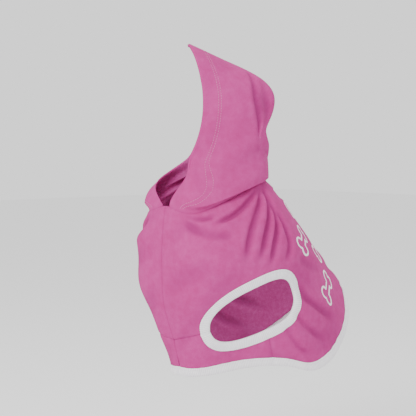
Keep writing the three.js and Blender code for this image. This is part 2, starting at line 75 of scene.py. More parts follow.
levelShape = {  # level sections of the hood
    "up": [-0.255, 0, 0.168, 0.366, 0.44, 0.553, 0.739, 0.888, 1.02],
    "half": [0.923, 0.923, 0.923, 0.923, 0.938, 0.969, 1, 0.985, 0.954],
    "centre": [-0.747, -0.747, -0.72, -0.66, -0.65, -0.642, -0.663, -0.684, -0.684],
    "back": [0.03, 0.03, 0.08, 0.075, 0.1, 0.179, 0.242, 0.242, 0.242],
    "fold": [0, -0.005, -0.01, -0.02, -0.042, -0.07, -0.135, -0.221, -0.3],
}


def readTable(table, place, at, name):
    # smooth curve through one column of a table
    x, y = np.asarray(table[place], float), np.asarray(table[name], float)
    here = np.clip(at, x[0], x[-1])
    i = np.clip(np.searchsorted(x, here, side="left") - 1, 0, len(x) - 2)
    slope = np.empty(len(x))
    slope[1:-1] = (y[2:] - y[:-2]) / (x[2:] - x[:-2])
    slope[0], slope[-1] = (y[1] - y[0]) / (x[1] - x[0]), (y[-1] - y[-2]) / (x[-1] - x[-2])
    span = x[i + 1] - x[i]
    t = (here - x[i]) / span
    low = (2 * t**3 - 3 * t**2 + 1) * y[i] + (t**3 - 2 * t**2 + t) * span * slope[i]
    return low + (3 * t**2 - 2 * t**3) * y[i + 1] + (t**3 - t**2) * span * slope[i + 1]


def smoothStep(low, high, value):
    t = np.clip((value - low) / (high - low), 0, 1)
    return t * t * (3 - 2 * t)


def within(zone, value):
    # 1 inside a zone, 0 outside it, with soft flanks
    rise, fall = zone
    return smoothStep(*rise, value) * (1 - smoothStep(*fall, value))


def unit(v):
    return v / np.maximum(np.linalg.norm(v, axis=-1, keepdims=True), 1e-12)


def outwardNormal(surface, over, under, step=1e-3):
    alongOver = surface(over + step, under) - surface(over - step, under)
    alongUnder = surface(over, np.minimum(under + step, 1)) - surface(over, np.maximum(under - step, 0))
    return unit(np.cross(alongUnder, alongOver))


def bodyBase(turn, up):
    # body without folds: turn 0 at the centre front, a quarter at the wearer's right, a half at the back
    g = garment
    angle = 2 * np.pi * np.asarray(turn, float)
    around = np.abs(np.arctan2(np.sin(angle), np.cos(angle)))
    side = np.where(np.sin(angle) < 0, -1, 1)
    degrees = np.degrees(around)
    level = np.clip(up, 0, 1)
    at = {name: readTable(bodyShape, "up", level, name) for name in bodyShape if name != "up"}
    blunt = at["square"] * (1 + np.cos(around)) / 2
    back = (1 - np.cos(around) * (1 + blunt * np.sin(around) ** 2)) / 2
    pinched = 1 - at["pinch"] * (1 - smoothStep(52, 95, degrees))
    drop = g["flankDrop"] * readTable(hemShape, "degrees", degrees, "drop") * (1 - level) ** g["hemReach"]
    dip = g["neckDip"] * readTable(neckShape, "degrees", degrees, "dip") * level ** g["neckReach"]
    x = g["backReach"] * (at["frontX"] + (at["backX"] - at["frontX"]) * back)
    y = side * at["half"] * g["chestWidth"] / 2 * np.sin(around) * pinched
    z = bodyHeight * (at["frontZ"] + (at["backZ"] - at["frontZ"]) * back) - drop - dip
    return np.stack([x, y, z], -1)


def curvedPath(path):
    # a path's few places joined by a smooth line of short steps
    t = np.linspace(0, len(path) - 1, 9 * (len(path) - 1) + 1)
    table = {"t": np.arange(len(path)), "x": path[:, 0], "y": path[:, 1]}
    return np.stack([readTable(table, "t", t, "x"), readTable(table, "t", t, "y")], -1)


def pathDistance(points, line):
    # how far each place on flat cloth is from a path, and how far along the path it is
    start, run = line[:-1], np.diff(line, axis=0)
    away = points[:, None] - start[None]
    part = (away * run).sum(-1) / (run * run).sum(-1)
    low, high = np.zeros(len(run)), np.ones(len(run))
    low[0], high[-1] = -3, 4  # the ends run on, so that a fold fades out straight
    held = np.clip(part, low, high)
    gap = np.hypot(away[..., 0] - held * run[:, 0], away[..., 1] - held * run[:, 1])
    best = np.argmin(gap, 1)
    pick = np.arange(len(points))
    return gap[pick, best], (best + held[pick, best]) / len(run)


foldShape = {"reach": 3.4, "ends": ((-0.04, 0.16), (0.72, 1.06)), "shoulder": 1.5}


def foldRelief(points, folds):
    # soft valleys with raised shoulders that fade at their ends
    flat = points.reshape(-1, 2)
    height = np.zeros(len(flat))
    for line, spread, depth in folds:
        reach = foldShape["reach"] * spread
        near = ((flat > line.min(0) - reach) & (flat < line.max(0) + reach)).all(1)
        if not near.any():
            continue
        gap, share = pathDistance(flat[near], line)
        off = gap / spread
        ends = within(foldShape["ends"], share)
        height[near] -= depth * ends * (1 - off**2) * np.exp(-(off**2) / foldShape["shoulder"])
    return height.reshape(points.shape[:-1])


def softNoise(x, y, size, seed):
    # smooth unevenness of hanging cloth, from a few long waves
    rng = np.random.default_rng(seed)
    total = np.zeros(np.broadcast(x, y).shape)
    for _ in range(9):
        way, phase, pace = rng.uniform(0, 2 * np.pi), rng.uniform(0, 2 * np.pi), rng.uniform(0.7, 1.5)
        total += np.sin((x * np.cos(way) + y * np.sin(way)) * 2 * np.pi * pace / size + phase)
    return total / 3


bodyFoldTable = [  # path as (share up, degrees from the centre front, left side negative), spread, depth
    ([(0.99, -116), (0.853, -90.5), (0.738, -78), (0.6, -71)], 4.8, 2.9),
    ([(0.975, -117), (0.845, -104), (0.733, -91), (0.59, -79)], 4.3, 3.0),
    ([(0.94, -116), (0.772, -105), (0.667, -94), (0.555, -85)], 4.3, 2.8),
    ([(0.85, -113), (0.657, -109), (0.56, -97)], 4.8, 2.1),
    ([(0.99, -111), (0.93, -87.5), (0.902, -73), (0.9, -58)], 4.2, 3.0),
    ([(0.998, -24), (0.97, -43), (0.945, -55), (0.95, -66)], 4.2, 1.7),
    ([(0.932, -30), (0.825, -56), (0.78, -70)], 9, 1.7),
    ([(0.45, -99), (0.33, -107.5), (0.125, -128)], 5.6, 2.5),
    ([(0.355, -92), (0.23, -98), (0.105, -111)], 5, 2.1),
    ([(0.245, -85), (0.128, -89.5), (0.08, -97)], 4.2, 1.7),
    ([(0.56, -112), (0.46, -124), (0.36, -140)], 8, 1.3),
    ([(0.94, 210), (0.9, 192), (0.905, 170), (0.95, 152)], 6, 2.6),
    ([(0.88, 222), (0.83, 200), (0.82, 178), (0.86, 154)], 8, 2.2),
    ([(0.3, 205), (0.18, 192), (0.1, 170)], 10, 1.3),
    ([(0.985, 113), (0.86, 92), (0.745, 80), (0.61, 73)], 5.2, 2.9),
    ([(0.97, 118), (0.84, 106), (0.73, 94), (0.6, 82)], 4.8, 2.8),
    ([(0.93, 122), (0.78, 112), (0.66, 100), (0.57, 90)], 5, 2.4),
    ([(0.98, 106), (0.925, 84), (0.9, 66), (0.91, 52)], 5, 2.6),
    ([(0.94, 28), (0.84, 50), (0.79, 66)], 9, 1.9),
    ([(0.43, 101), (0.31, 110), (0.12, 130)], 5.6, 2.4),
    ([(0.33, 93), (0.21, 100), (0.1, 113)], 5, 2),
]
hoodFoldTable = {  # path as (share along, share up) on each panel, spread, depth
    -1: [
        ([(0.36, 0.88), (0.385, 0.795), (0.432, 0.578), (0.51, 0.396), (0.56, 0.3)], 4.2, 3.2),
        ([(0.6, 0.26), (0.445, 0.17), (0.3, 0.15)], 8, 2.6),
        ([(0.3, 0.6), (0.24, 0.42), (0.2, 0.26)], 12, 1.2),
    ],
    1: [
        ([(0.36, 0.86), (0.4, 0.75), (0.45, 0.55), (0.52, 0.38)], 4.6, 2.2),
        ([(0.62, 0.28), (0.45, 0.19), (0.28, 0.16)], 8, 2.8),
        ([(0.32, 0.62), (0.25, 0.44), (0.2, 0.3)], 12, 1.3),
    ],
}
clothLook = {
    # millimetres of cloth, the hood's doubled edge, and the share left where the cloth is pressed thin
    "wall": 1.9, "hemWidth": 19, "hemExtra": 1.3, "pressed": 0.22,
    # seams: gap between panels, the groove's depth and width, how far the hood sinks on the body's edge
    "seamGap": 0.12, "seamDepth": 1.1, "seamWidth": 1.7, "seamSink": 0.5,
    # folds, calmer within reach of the armholes, and the fold depth at which the painted shade in the cloth's
    # colour is full
    "foldGain": 1.6, "armholeCalm": 0.85, "armholeStart": 2, "armholeReach": 22, "paintedShadeDepth": 3,
    # unevenness of hanging cloth, calm beside the front seam and the neck seam
    "sag": 1.0, "bodySagLength": 90, "hoodSagLength": 75, "frontCalm": 25, "neckCalm": 14,
    # puckers beside the binding and beside the cross seam
    "ripple": 0.35, "rippleLength": 11, "hemRippleAt": 12, "hemRippleSpread": 9, "seamRippleSpread": 8,
    # the hood's roll over the neck seam
    "rollOut": 7, "rollDown": 7,
}
noiseSeeds = {"body": 3, "ripple": 8, "hood": 12, "armholeBinding": 5, "hemBinding": 21}


def fullDegrees(turn):
    return 360 * (turn - np.floor(turn))


def crossSeamAt(degrees):
    return garment["crossSeamFront"] + garment["crossSeamSlope"] * np.minimum(degrees, garment["sideSeam"])


def seamGroove(gap):
    return -clothLook["seamDepth"] * np.exp(-(np.abs(gap) / clothLook["seamWidth"]) ** 1.3)


radius = garment["chestWidth"] / 2
bodyFolds = [
    (curvedPath(np.array([(math.radians(d % 360) * radius, u * bodyHeight) for u, d in path])),
     spread, depth)
    for path, spread, depth in bodyFoldTable
]


armhole = {
    "length": 114, "height": 66, "tilt": 25, "back": 0.286, "up": 0.367, "square": 2.4,
    # millimetres: the cut edge outside the outline, how far the grid snaps to it, and off the middle plane
    "cut": 0.6, "snapReach": 9, "offMiddle": 20,
}


def armholeOutline(angle, margin):
    power = 2 / armhole["square"]
    c, s = np.cos(angle), np.sin(angle)
    long = (armhole["length"] / 2 + margin) * np.sign(c) * np.abs(c) ** power
    high = (armhole["height"] / 2 + margin) * np.sign(s) * np.abs(s) ** power
    tilt = math.radians(armhole["tilt"])
    x = armhole["back"] * garment["backReach"] + long * math.cos(tilt) - high * math.sin(tilt)
    z = armhole["up"] * bodyHeight + long * math.sin(tilt) + high * math.cos(tilt)
    return np.stack([x, z], -1)


def armholeShare(points, margin):
    # below 1 inside the armhole's outline seen from the side, above 1 outside it
    tilt = math.radians(armhole["tilt"])
    x = points[..., 0] - armhole["back"] * garment["backReach"]
    z = points[..., 2] - armhole["up"] * bodyHeight
    long = np.abs(x * math.cos(tilt) + z * math.sin(tilt)) / (armhole["length"] / 2 + margin)
    high = np.abs(-x * math.sin(tilt) + z * math.cos(tilt)) / (armhole["height"] / 2 + margin)
    return long ** armhole["square"] + high ** armhole["square"]


def insideArmhole(points, margin):
    return (armholeShare(points, margin) < 1) & (np.abs(points[..., 1]) > armhole["offMiddle"])


def nearArmhole(points):
    # 1 at the armhole's edge, 0 beyond its reach
    out = armholeShare(points, 0) ** (1 / armhole["square"]) - 1
    away = out * (armhole["length"] + armhole["height"]) / 4
    return 1 - smoothStep(clothLook["armholeStart"], clothLook["armholeReach"], away)


def bodyRelief(turn, up):
    turn, up = np.broadcast_arrays(np.asarray(turn, float), np.asarray(up, float))
    look, degrees = clothLook, fullDegrees(turn)
    angle = np.radians(degrees)
    flat = np.stack([angle * radius, up * bodyHeight], -1)
    height = look["foldGain"] * foldRelief(flat, bodyFolds)
    height = height * (1 - look["armholeCalm"] * nearArmhole(bodyBase(turn, up)))
    fromFront = np.minimum(degrees, 360 - degrees)
    fromCentre = np.radians(fromFront) * radius
    # unevenness that closes round the body
    soft = softNoise(radius * np.cos(angle), radius * np.sin(angle) + 2 * flat[..., 1],
                     look["bodySagLength"], noiseSeeds["body"])
    height = height + look["sag"] * soft * smoothStep(0, look["frontCalm"], fromCentre)
    nearNeck = (1 - up) * bodyHeight
    height = height * smoothStep(0, look["neckCalm"], nearNeck)
    # the knit draws up a little beside seams and binding
    pucker = softNoise(flat[..., 0], 0 * flat[..., 0], look["rippleLength"], noiseSeeds["ripple"])
    fromHem = (flat[..., 1] - look["hemRippleAt"]) / look["hemRippleSpread"]
    height = height + look["ripple"] * pucker * np.exp(-(fromHem ** 2))
    crossGap = (up - crossSeamAt(fromFront)) * bodyHeight
    inFront = fromFront < garment["sideSeam"] + 0.5
    height = height + np.where(inFront, seamGroove(crossGap), 0)
    fromCross = crossGap / look["seamRippleSpread"]
    height = height + 0.6 * look["ripple"] * pucker * np.exp(-(fromCross ** 2)) * inFront
    height = height + 0.8 * seamGroove(fromCentre)
    sideGap = np.radians(fromFront - garment["sideSeam"]) * radius
    height = height + np.where(crossGap < 0.5, seamGroove(sideGap), 0)
    return height + seamGroove(nearNeck)


def bodyFace(turn, up):
    return bodyBase(turn, up) + outwardNormal(bodyBase, turn, up) * bodyRelief(turn, up)[..., None]


nape = bodyBase(0.5, 1.0)
throat = bodyBase(0.0, 1.0)
middle = np.array([(throat[0] + nape[0]) / 2, 0, (throat[2] + nape[2]) / 2])


def toFrame(points):
    return (points - middle) * 0.001  # metres, in the CAD's frame


pouch = {  # the slack cloth behind the fold at the hood's back corner, shares of the hood's sizes
    "height": ((0.35, 0.44), (0.75, 0.85)), "behindFold": (-0.03, 0.075), "flat": 0.45,
    "lean": 1.3, "leanAlong": ((0.5, 0.68), (0.84, 1)),
}


def hoodHalfWidth(x, z):
    # rounded at the back and flatter in the pouch behind the fold at the hood's back corner
    up = (z - nape[2]) / garment["hoodHeight"]
    back = (x - nape[0]) / garment["hoodReach"]
    at = {name: readTable(levelShape, "up", up, name) for name in ("half", "centre", "back", "fold")}
    rounding = np.clip((back - at["centre"]) / (at["back"] - at["centre"]), 0, 0.995)
    behind = smoothStep(*pouch["behindFold"], back - at["fold"])
    half = at["half"] * garment["hoodWidth"] / 2
    return half * np.sqrt(1 - rounding**2) * (1 - pouch["flat"] * behind * within(pouch["height"], up))


def onOnePanel(along, up, side):
    # past the ridge and the nape a place lies on the other panel
    along, up, side = np.broadcast_arrays(np.asarray(along, float), np.asarray(up, float), side)
    side = np.where(up > 1, -side, side)
    up = np.where(up > 1, 2 - up, up)
    side = np.where(along > 1, -side, side)
    along = np.where(along > 1, 2 - along, along)
    return np.maximum(along, 0), np.maximum(up, 0), side


def hoodBase(along, up, side):
    a, b, side = onOnePanel(along, up, side)
    g = garment
    at = {name: readTable(ridgeShape, "along", a, name) for name in ridgeShape if name != "along"}
    seam = bodyBase(at["degrees"] / 360, np.ones_like(a))
    ridgeX = nape[0] + at["back"] * g["hoodReach"]
    ridgeZ = nape[2] + at["up"] * g["hoodHeight"]
    share = np.sin(b * np.pi / 2)
    # the threads of the pouch lean back over the fold below it
    lean = share ** (1 + pouch["lean"] * within(pouch["leanAlong"], a))
    bowed = np.maximum(np.sin(np.pi * share**0.9), 0) ** 0.8 * smoothStep(0, 0.18, b)
    x = seam[..., 0] + (ridgeX - seam[..., 0]) * lean + g["openingBow"] * bowed * (1 - a) ** 1.6
    z = seam[..., 2] + (ridgeZ - seam[..., 2]) * share
    length = np.hypot(ridgeX - seam[..., 0], ridgeZ - seam[..., 2])
    depth = np.minimum(at["round"] * g["hoodWidth"] / 2, 0.9 * length)
    crown = np.sqrt(np.maximum(1 - (1 - np.clip((1 - share) * length / depth, 0, 1)) ** 2, 0))
    closing = np.sqrt(np.maximum(1 - (1 - np.clip((1 - a) / 0.2, 0, 1)) ** 2, 0))
    full = hoodHalfWidth(x, z) * closing
    y = side * crown * (seam[..., 1] + (full - seam[..., 1]) * smoothStep(0, 0.16, b))
    return np.stack([x, y, z], -1)


# even grid over a hood panel, its edges and the width of the mean, shares of the panel
softGrid = {
    "count": 321, "low": -0.12, "high": 1.12, "inner": (-0.1, 1.1), "reach": 0.04,
    # where it takes over from the plain formula, along and up the panel
    "along": (0.28, 0.42), "up": (0.03, 0.2),
}


def softPlaces():
    # places of the hood as the mean of those around them, on an even grid that runs on over both seams
    places = np.linspace(softGrid["low"], softGrid["high"], softGrid["count"])
    step = places[1] - places[0]
    soft = hoodBase(places[:, None], places[None, :], 1)
    reach = int(2.5 * softGrid["reach"] / step)
    weights = np.exp(-((np.arange(-reach, reach + 1) * step / softGrid["reach"]) ** 2))
    weights = weights / weights.sum()
    for _ in range(2):
        wide = np.pad(soft, ((reach, reach), (0, 0), (0, 0)), mode="edge")
        soft = sum(weight * wide[k:k + len(places)] for k, weight in enumerate(weights))
        soft = soft.transpose(1, 0, 2)
    return soft


hoodSoft = softPlaces()


def onSoftGrid(share):
    cells = (softGrid["count"] - 1) / (softGrid["high"] - softGrid["low"])
    place = (np.clip(share, *softGrid["inner"]) - softGrid["low"]) * cells
    return place.astype(int), (place - place.astype(int))[..., None]


def hoodShape(along, up, side):
    # cloth can't follow a sharp pinch, so behind the head the even grid takes over
    a, b, side = np.broadcast_arrays(np.asarray(along, float), np.asarray(up, float), side)
    (i, u), (j, v) = onSoftGrid(a), onSoftGrid(b)
    soft = (hoodSoft[i, j] * (1 - u) + hoodSoft[i + 1, j] * u) * (1 - v)
    soft = soft + (hoodSoft[i, j + 1] * (1 - u) + hoodSoft[i + 1, j + 1] * u) * v
    soft = soft * np.stack([0 * side + 1, side, 0 * side + 1], -1)
    share = smoothStep(*softGrid["along"], np.where(a > 1, 2 - a, a))
    share = share * smoothStep(*softGrid["up"], np.where(b > 1, 2 - b, b))
    return hoodBase(a, b, side) * (1 - share[..., None]) + soft * share[..., None]


def hoodFlat(along, up):
    return np.stack([along * garment["ridgeLength"] * garment["hoodReach"], up * garment["hoodHeight"]], -1)


hoodFolds = {
    side: [(curvedPath(hoodFlat(*np.array(path).T)), spread, depth) for path, spread, depth in rows]
    for side, rows in hoodFoldTable.items()
}


hoodZones = {  # shares up and along a panel
    "foldsUp": ((0, 0.1), (0.86, 1)), "foldsAlong": ((-0.02, 0.08), (0.86, 1)),
    # the roll bulges, droops over the neck seam and is pressed thin in the tight turn under it
    "rollUp": ((0, 0.05), (0.07, 0.26)), "rollStart": (0, 0.16),
    "droopUp": ((0, 0.06), (0.06, 0.22)), "droopStart": (0.02, 0.2),
    "pressedUp": ((0.004, 0.02), (0.06, 0.13)), "sinkUp": (0, 0.01), "hemFade": (0, 0.012),
    # the ridge seam lies shallow where the pouch folds over, and the nape seam starts above the neck seam
    "shallow": 0.8, "shallowAt": 0.79, "shallowSpread": 0.06, "napeStart": (0.02, 0.06),
    # millimetres from the place where both seams meet
    "meeting": (1, 9),
}


def hoodRelief(along, up, side):
    flat, zones = hoodFlat(along, up), hoodZones
    soft = softNoise(flat[..., 0], flat[..., 1], clothLook["hoodSagLength"], noiseSeeds["hood"])
    height = np.where(side < 0, foldRelief(flat, hoodFolds[-1]), foldRelief(flat, hoodFolds[1]))
    height = (height + clothLook["sag"] * soft) * within(zones["foldsUp"], up)
    height = height * within(zones["foldsAlong"], along)
    roll = within(zones["rollUp"], up) * smoothStep(*zones["rollStart"], along)
    height = height + clothLook["rollOut"] * roll
    ridgeGap = (1 - up) * garment["hoodHeight"] * 1.2
    napeGap = (1 - along) * garment["ridgeLength"] * garment["hoodReach"]
    height = height + seamGroove(up * garment["hoodHeight"])
    shallow = np.exp(-(((along - zones["shallowAt"]) / zones["shallowSpread"]) ** 2))
    ridgeGroove = seamGroove(ridgeGap) * (1 - zones["shallow"] * shallow)
    napeGroove = seamGroove(napeGap) * smoothStep(*zones["napeStart"], up)
    # no groove where the ridge seam and the nape seam meet
    meeting = smoothStep(*zones["meeting"], np.hypot(ridgeGap, napeGap))
    return height + np.minimum(ridgeGroove, napeGroove) * meeting


def hoodNormal(surface, along, up, side, step, low=-1):
    overAlong = surface(along + step, up, side) - surface(np.maximum(along - step, low), up, side)
    overUp = surface(along, up + step, side) - surface(along, np.maximum(up - step, low), side)
    return unit(np.cross(overUp, overAlong)) * np.asarray(side)[..., None]


def hoodFace(along, up, side):
    a, b, side = onOnePanel(along, up, side)
    normal = hoodNormal(hoodShape, a, b, side, 3e-3)
    face = hoodShape(a, b, side) + normal * hoodRelief(a, b, side)[..., None]
    droop = within(hoodZones["droopUp"], b) * smoothStep(*hoodZones["droopStart"], a)
    face[..., 2] -= clothLook["rollDown"] * droop
    return face


def turned(points, rise):
    # the hood turns with the head, more the higher it is above the neck seam
    centre = garment["neckSetback"] + garment["neckLength"] / 2
    angle = -math.radians(garment["headTurn"]) * smoothStep(0, garment["turnRise"], rise)
    x, y = points[..., 0] - centre, points[..., 1]
    c, s = np.cos(angle), np.sin(angle)
    return np.stack([centre + x * c - y * s, x * s + y * c, points[..., 2]], -1)


def addObject(name, data):
    made = bpy.data.objects.new(name, data)
    bpy.context.collection.objects.link(made)
    return made


def makeMesh(name, vertices, faces, uvs=None, paintedFoldShade=None):
    mesh = bpy.data.meshes.new(name)
    mesh.from_pydata(toFrame(vertices).tolist(), [], [tuple(int(i) for i in f) for f in faces])
    mesh.validate()
    mesh.update()
    for polygon in mesh.polygons:
        polygon.use_smooth = True
    if uvs is not None:
        layer = mesh.uv_layers.new(name="clothMap")
        loops = np.empty(len(mesh.loops), int)
        mesh.loops.foreach_get("vertex_index", loops)
        layer.data.foreach_set("uv", (np.asarray(uvs)[loops] * 0.001).ravel())
    # painted shade: how deep each place lies in a fold, kept as an attribute for darkening the colour
    if paintedFoldShade is not None:
        mesh.attributes.new("paintedFoldShade", "FLOAT", "POINT").data.foreach_set("value", paintedFoldShade)
    return addObject(name, mesh)


def faceOut(vertices, faces):
    # a closed mesh's faces are turned outwards by its volume
    a, b, c = vertices[faces[:, 0]], vertices[faces[:, 1]], vertices[faces[:, 2]]
    d = vertices[faces[:, 3]]
    volume = np.einsum("ij,ij->i", a, np.cross(b, c)).sum() + np.einsum("ij,ij->i", a, np.cross(c, d)).sum()
    return faces if volume > 0 else faces[:, ::-1]


def wallPiece(name, face, back, uv, cells, relief, bulge=0.7):
    # one closed wall of cloth from a grid of places, its raw edges rounded
    columns, rows = face.shape[:2]
    total = columns * rows
    index = np.arange(total).reshape(columns, rows)
    quads = np.stack([index[:-1, :-1], index[1:, :-1], index[1:, 1:], index[:-1, 1:]], -1)[cells]
    edges = np.concatenate([quads[:, [k, (k + 1) % 4]] for k in range(4)])
    single = ~np.isin(edges[:, 1] * total + edges[:, 0], edges[:, 0] * total + edges[:, 1])
    rim = edges[single]
    top, low = face.reshape(-1, 3), back.reshape(-1, 3)
    normal = unit(top - low)
    a, b, d = top[quads[:, 0]], top[quads[:, 1]], top[quads[:, 3]]
    way = np.sign(np.einsum("ij,ij->i", np.cross(b - a, d - a), normal[quads[:, 0]]).sum())
    rimVertices, place = np.unique(rim, return_inverse=True)
    place = place.reshape(rim.shape)
    out = np.zeros((len(rimVertices), 3))
    edgeOut = way * np.cross(unit(top[rim[:, 1]] - top[rim[:, 0]]), normal[rim[:, 0]])
    np.add.at(out, place[:, 0], edgeOut)
    np.add.at(out, place[:, 1], edgeOut)
    thick = np.linalg.norm(top - low, axis=1)[rimVertices, None]
    mid = (top[rimVertices] + low[rimVertices]) / 2 + unit(out) * thick * 0.5 * bulge
    first = 2 * total
    rimTop = np.stack([rim[:, 1], rim[:, 0], first + place[:, 0], first + place[:, 1]], -1)
    rimLow = np.stack([first + place[:, 1], first + place[:, 0], total + rim[:, 0], total + rim[:, 1]], -1)
    vertices = np.concatenate([top, low, mid])
    faces = np.concatenate([quads, rimTop, rimLow, quads[:, ::-1] + total])
    used = np.unique(faces)
    renumber = np.zeros(len(vertices), int)
    renumber[used] = np.arange(len(used))
    # both faces and the rim share one cloth map
    source = np.concatenate([np.arange(total), np.arange(total), rimVertices])[used]
    # painted shade: the deeper a place lies in a fold, the darker its colour is painted
    paintedFoldShade = np.clip(-relief.ravel() / clothLook["paintedShadeDepth"], 0, 1)
    faces = renumber[faceOut(vertices, faces)]
    piece = makeMesh(name, vertices[used], faces, uv.reshape(-1, 2)[source], paintedFoldShade[source])
    piece["backFaces"] = len(quads)
    return piece


def spaced(start, stop, count, nearStart=(), nearStop=(), length=1.0):
    # evenly spaced places with extra ones beside the ends, given in millimetres
    places = np.linspace(start, stop, count)
    span = (stop - start) / length
    extra = [start + mm * span for mm in nearStart] + [stop - mm * span for mm in nearStop]
    return np.unique(np.concatenate([places, extra]))


def placeOnSide(target, side, degrees, up, rounds=(7, 3)):
    # place on one side of the body that is seen from the side at a given point: first without folds,
    # then with them, in steps of at most 8 degrees and 0.08 of the height
    step = 1e-4
    for surface, count in zip((bodyBase, bodyFace), rounds):
        for _ in range(count):
            here = surface(side * degrees / 360, up)
            overDegrees = (surface(side * (degrees + step) / 360, up) - here) / step
            overUp = (surface(side * degrees / 360, up + step) - here) / step
            missX, missZ = target[..., 0] - here[..., 0], target[..., 1] - here[..., 2]
            size = overDegrees[..., 0] * overUp[..., 2] - overDegrees[..., 2] * overUp[..., 0]
            degrees = degrees + np.clip((missX * overUp[..., 2] - missZ * overUp[..., 0]) / size, -8, 8)
            up = up + np.clip((overDegrees[..., 0] * missZ - overDegrees[..., 2] * missX) / size, -0.08, 0.08)
    return side * degrees / 360, up


def guessOnSide(target, side):
    # first guess of each place from a coarse search of that side
    degrees, up = np.meshgrid(np.linspace(30, 115, 60), np.linspace(0.02, 0.7, 60), indexing="ij")
    grid = bodyBase(side * degrees / 360, up).reshape(-1, 3)
    gap = (grid[None, :, 0] - target[:, :1]) ** 2 + (grid[None, :, 2] - target[:, 1:]) ** 2
    best = np.argmin(gap, 1)
    return degrees.ravel()[best], up.ravel()[best]


bodyGrid = {"front": 60, "back": 74, "belly": 46, "low": 24, "lowLength": 40, "high": 86, "highLength": 165}
fineSteps = (0.5, 1.1, 1.9, 3.0, 4.6)  # millimetres beside a seam, where the cloth turns into the groove
seamMargin = math.degrees(clothLook["seamGap"] / radius) / 2
sideLength = math.radians(garment["sideSeam"]) * radius


def snapToArmholes(turn, up, cells):
    # the cloth's edge follows the armholes' outlines, under the binding
    columns, rows = turn.shape
    count = np.zeros((columns, rows), int)
    for i, j in ((0, 0), (1, 0), (1, 1), (0, 1)):
        count[i:columns - 1 + i, j:rows - 1 + j] += cells
    full = np.full((columns, rows), 4)
    full[0], full[-1] = full[0] // 2, full[-1] // 2
    full[:, 0], full[:, -1] = full[:, 0] // 2, full[:, -1] // 2
    points = bodyFace(turn, up)
    near = insideArmhole(points, armhole["snapReach"]) & (count > 0) & (count < full)
    for side in (-1, 1):
        mine = near & (np.sign(points[..., 1]) == side)
        if not mine.any():
            continue
        angles = np.linspace(0, 2 * np.pi, 720)
        outline = armholeOutline(angles, armhole["cut"])
        here = points[mine][:, [0, 2]]
        nearest = np.argmin(((here[:, None] - outline[None]) ** 2).sum(-1), 1)
        degrees = fullDegrees(turn[mine])
        degrees = degrees if side > 0 else 360 - degrees
        newTurn, newUp = placeOnSide(outline[nearest], side, degrees, up[mine])
        turn[mine], up[mine] = newTurn % 1, newUp
    return turn, up


def clothMap(turn, up):
    return np.stack([2 * np.pi * radius * turn, up * bodyHeight * 1.25], -1)


def clothCells(turn, up):
    # cells of a grid that don't reach into an armhole
    corner = insideArmhole(bodyFace(turn, up), armhole["cut"])
    return ~(corner[:-1, :-1] | corner[1:, :-1] | corner[1:, 1:] | corner[:-1, 1:])


def bodyPiece(name, turn, up, cells):
    face = bodyFace(turn, up)
    back = face - outwardNormal(bodyFace, turn, up) * clothLook["wall"]
    return wallPiece(name, face, back, clothMap(turn, up), cells, bodyRelief(turn, up))


def makeBody():
    sideSeam = garment["sideSeam"]
    front = spaced(seamMargin, sideSeam, bodyGrid["front"], fineSteps, fineSteps, sideLength)
    back = np.linspace(sideSeam, 180, bodyGrid["back"])[1:]
    extra = sideSeam + np.degrees(np.array(fineSteps) / radius)
    half = np.unique(np.concatenate([front, back, extra]))
    degrees = np.concatenate([half, (360 - half[:-1])[::-1]])
    lowRows = spaced(0, 1, bodyGrid["low"], (), fineSteps, bodyGrid["lowLength"])
    highRows = spaced(0, 1, bodyGrid["high"], fineSteps, fineSteps, bodyGrid["highLength"])
    fromFront = np.minimum(degrees, 360 - degrees)
    cross = crossSeamAt(fromFront)[:, None]
    up = np.concatenate([lowRows * cross, (cross + (1 - cross) * highRows)[:, 1:]], 1)
    turn = np.repeat(degrees[:, None] / 360, up.shape[1], 1)
    seamRow = len(lowRows) - 1
    cells = clothCells(turn, up)
    cells[(fromFront[:-1] + fromFront[1:]) / 2 < sideSeam, :seamRow] = False
    turn, up = snapToArmholes(turn, up, cells)
    # the belly panels' edges keep a hair's gap from this panel's
    isFront = (fromFront < sideSeam - 0.01)[:, None] & (np.arange(up.shape[1]) == seamRow)[None, :]
    up = up + isFront * clothLook["seamGap"] / bodyHeight
    return bodyPiece("coatBody", turn, up, cells)


def makeBelly(name, side):
    sideSeam = garment["sideSeam"]
    last = sideSeam - 2 * seamMargin
    degrees = spaced(seamMargin, last, bodyGrid["belly"], fineSteps, fineSteps, sideLength)
    rows = spaced(0, 1, bodyGrid["low"], (), fineSteps, bodyGrid["lowLength"])
    up = rows[None, :] * (crossSeamAt(degrees) - clothLook["seamGap"] / bodyHeight)[:, None]
    turn = np.repeat((side * degrees[:, None] / 360) % 1, up.shape[1], 1)
    return bodyPiece(name, turn, up, clothCells(turn, up))


hoodGrid = {
    "columns": 92, "rows": 104, "rowsLow": 1.3, "length": 150, "height": 190, "nearOpening": (0.8, 1.6, 3, 5),
    "nearRoll": (0.004, 0.009, 0.015, 0.022, 0.03),
}


def hemEnd(up, side, width):
    # share along a panel at which the turned in edge ends
    probe = 0.05
    reach = np.linalg.norm(hoodBase(probe, up, side) - hoodBase(0 * up, up, side), axis=-1)
    return probe * width / reach


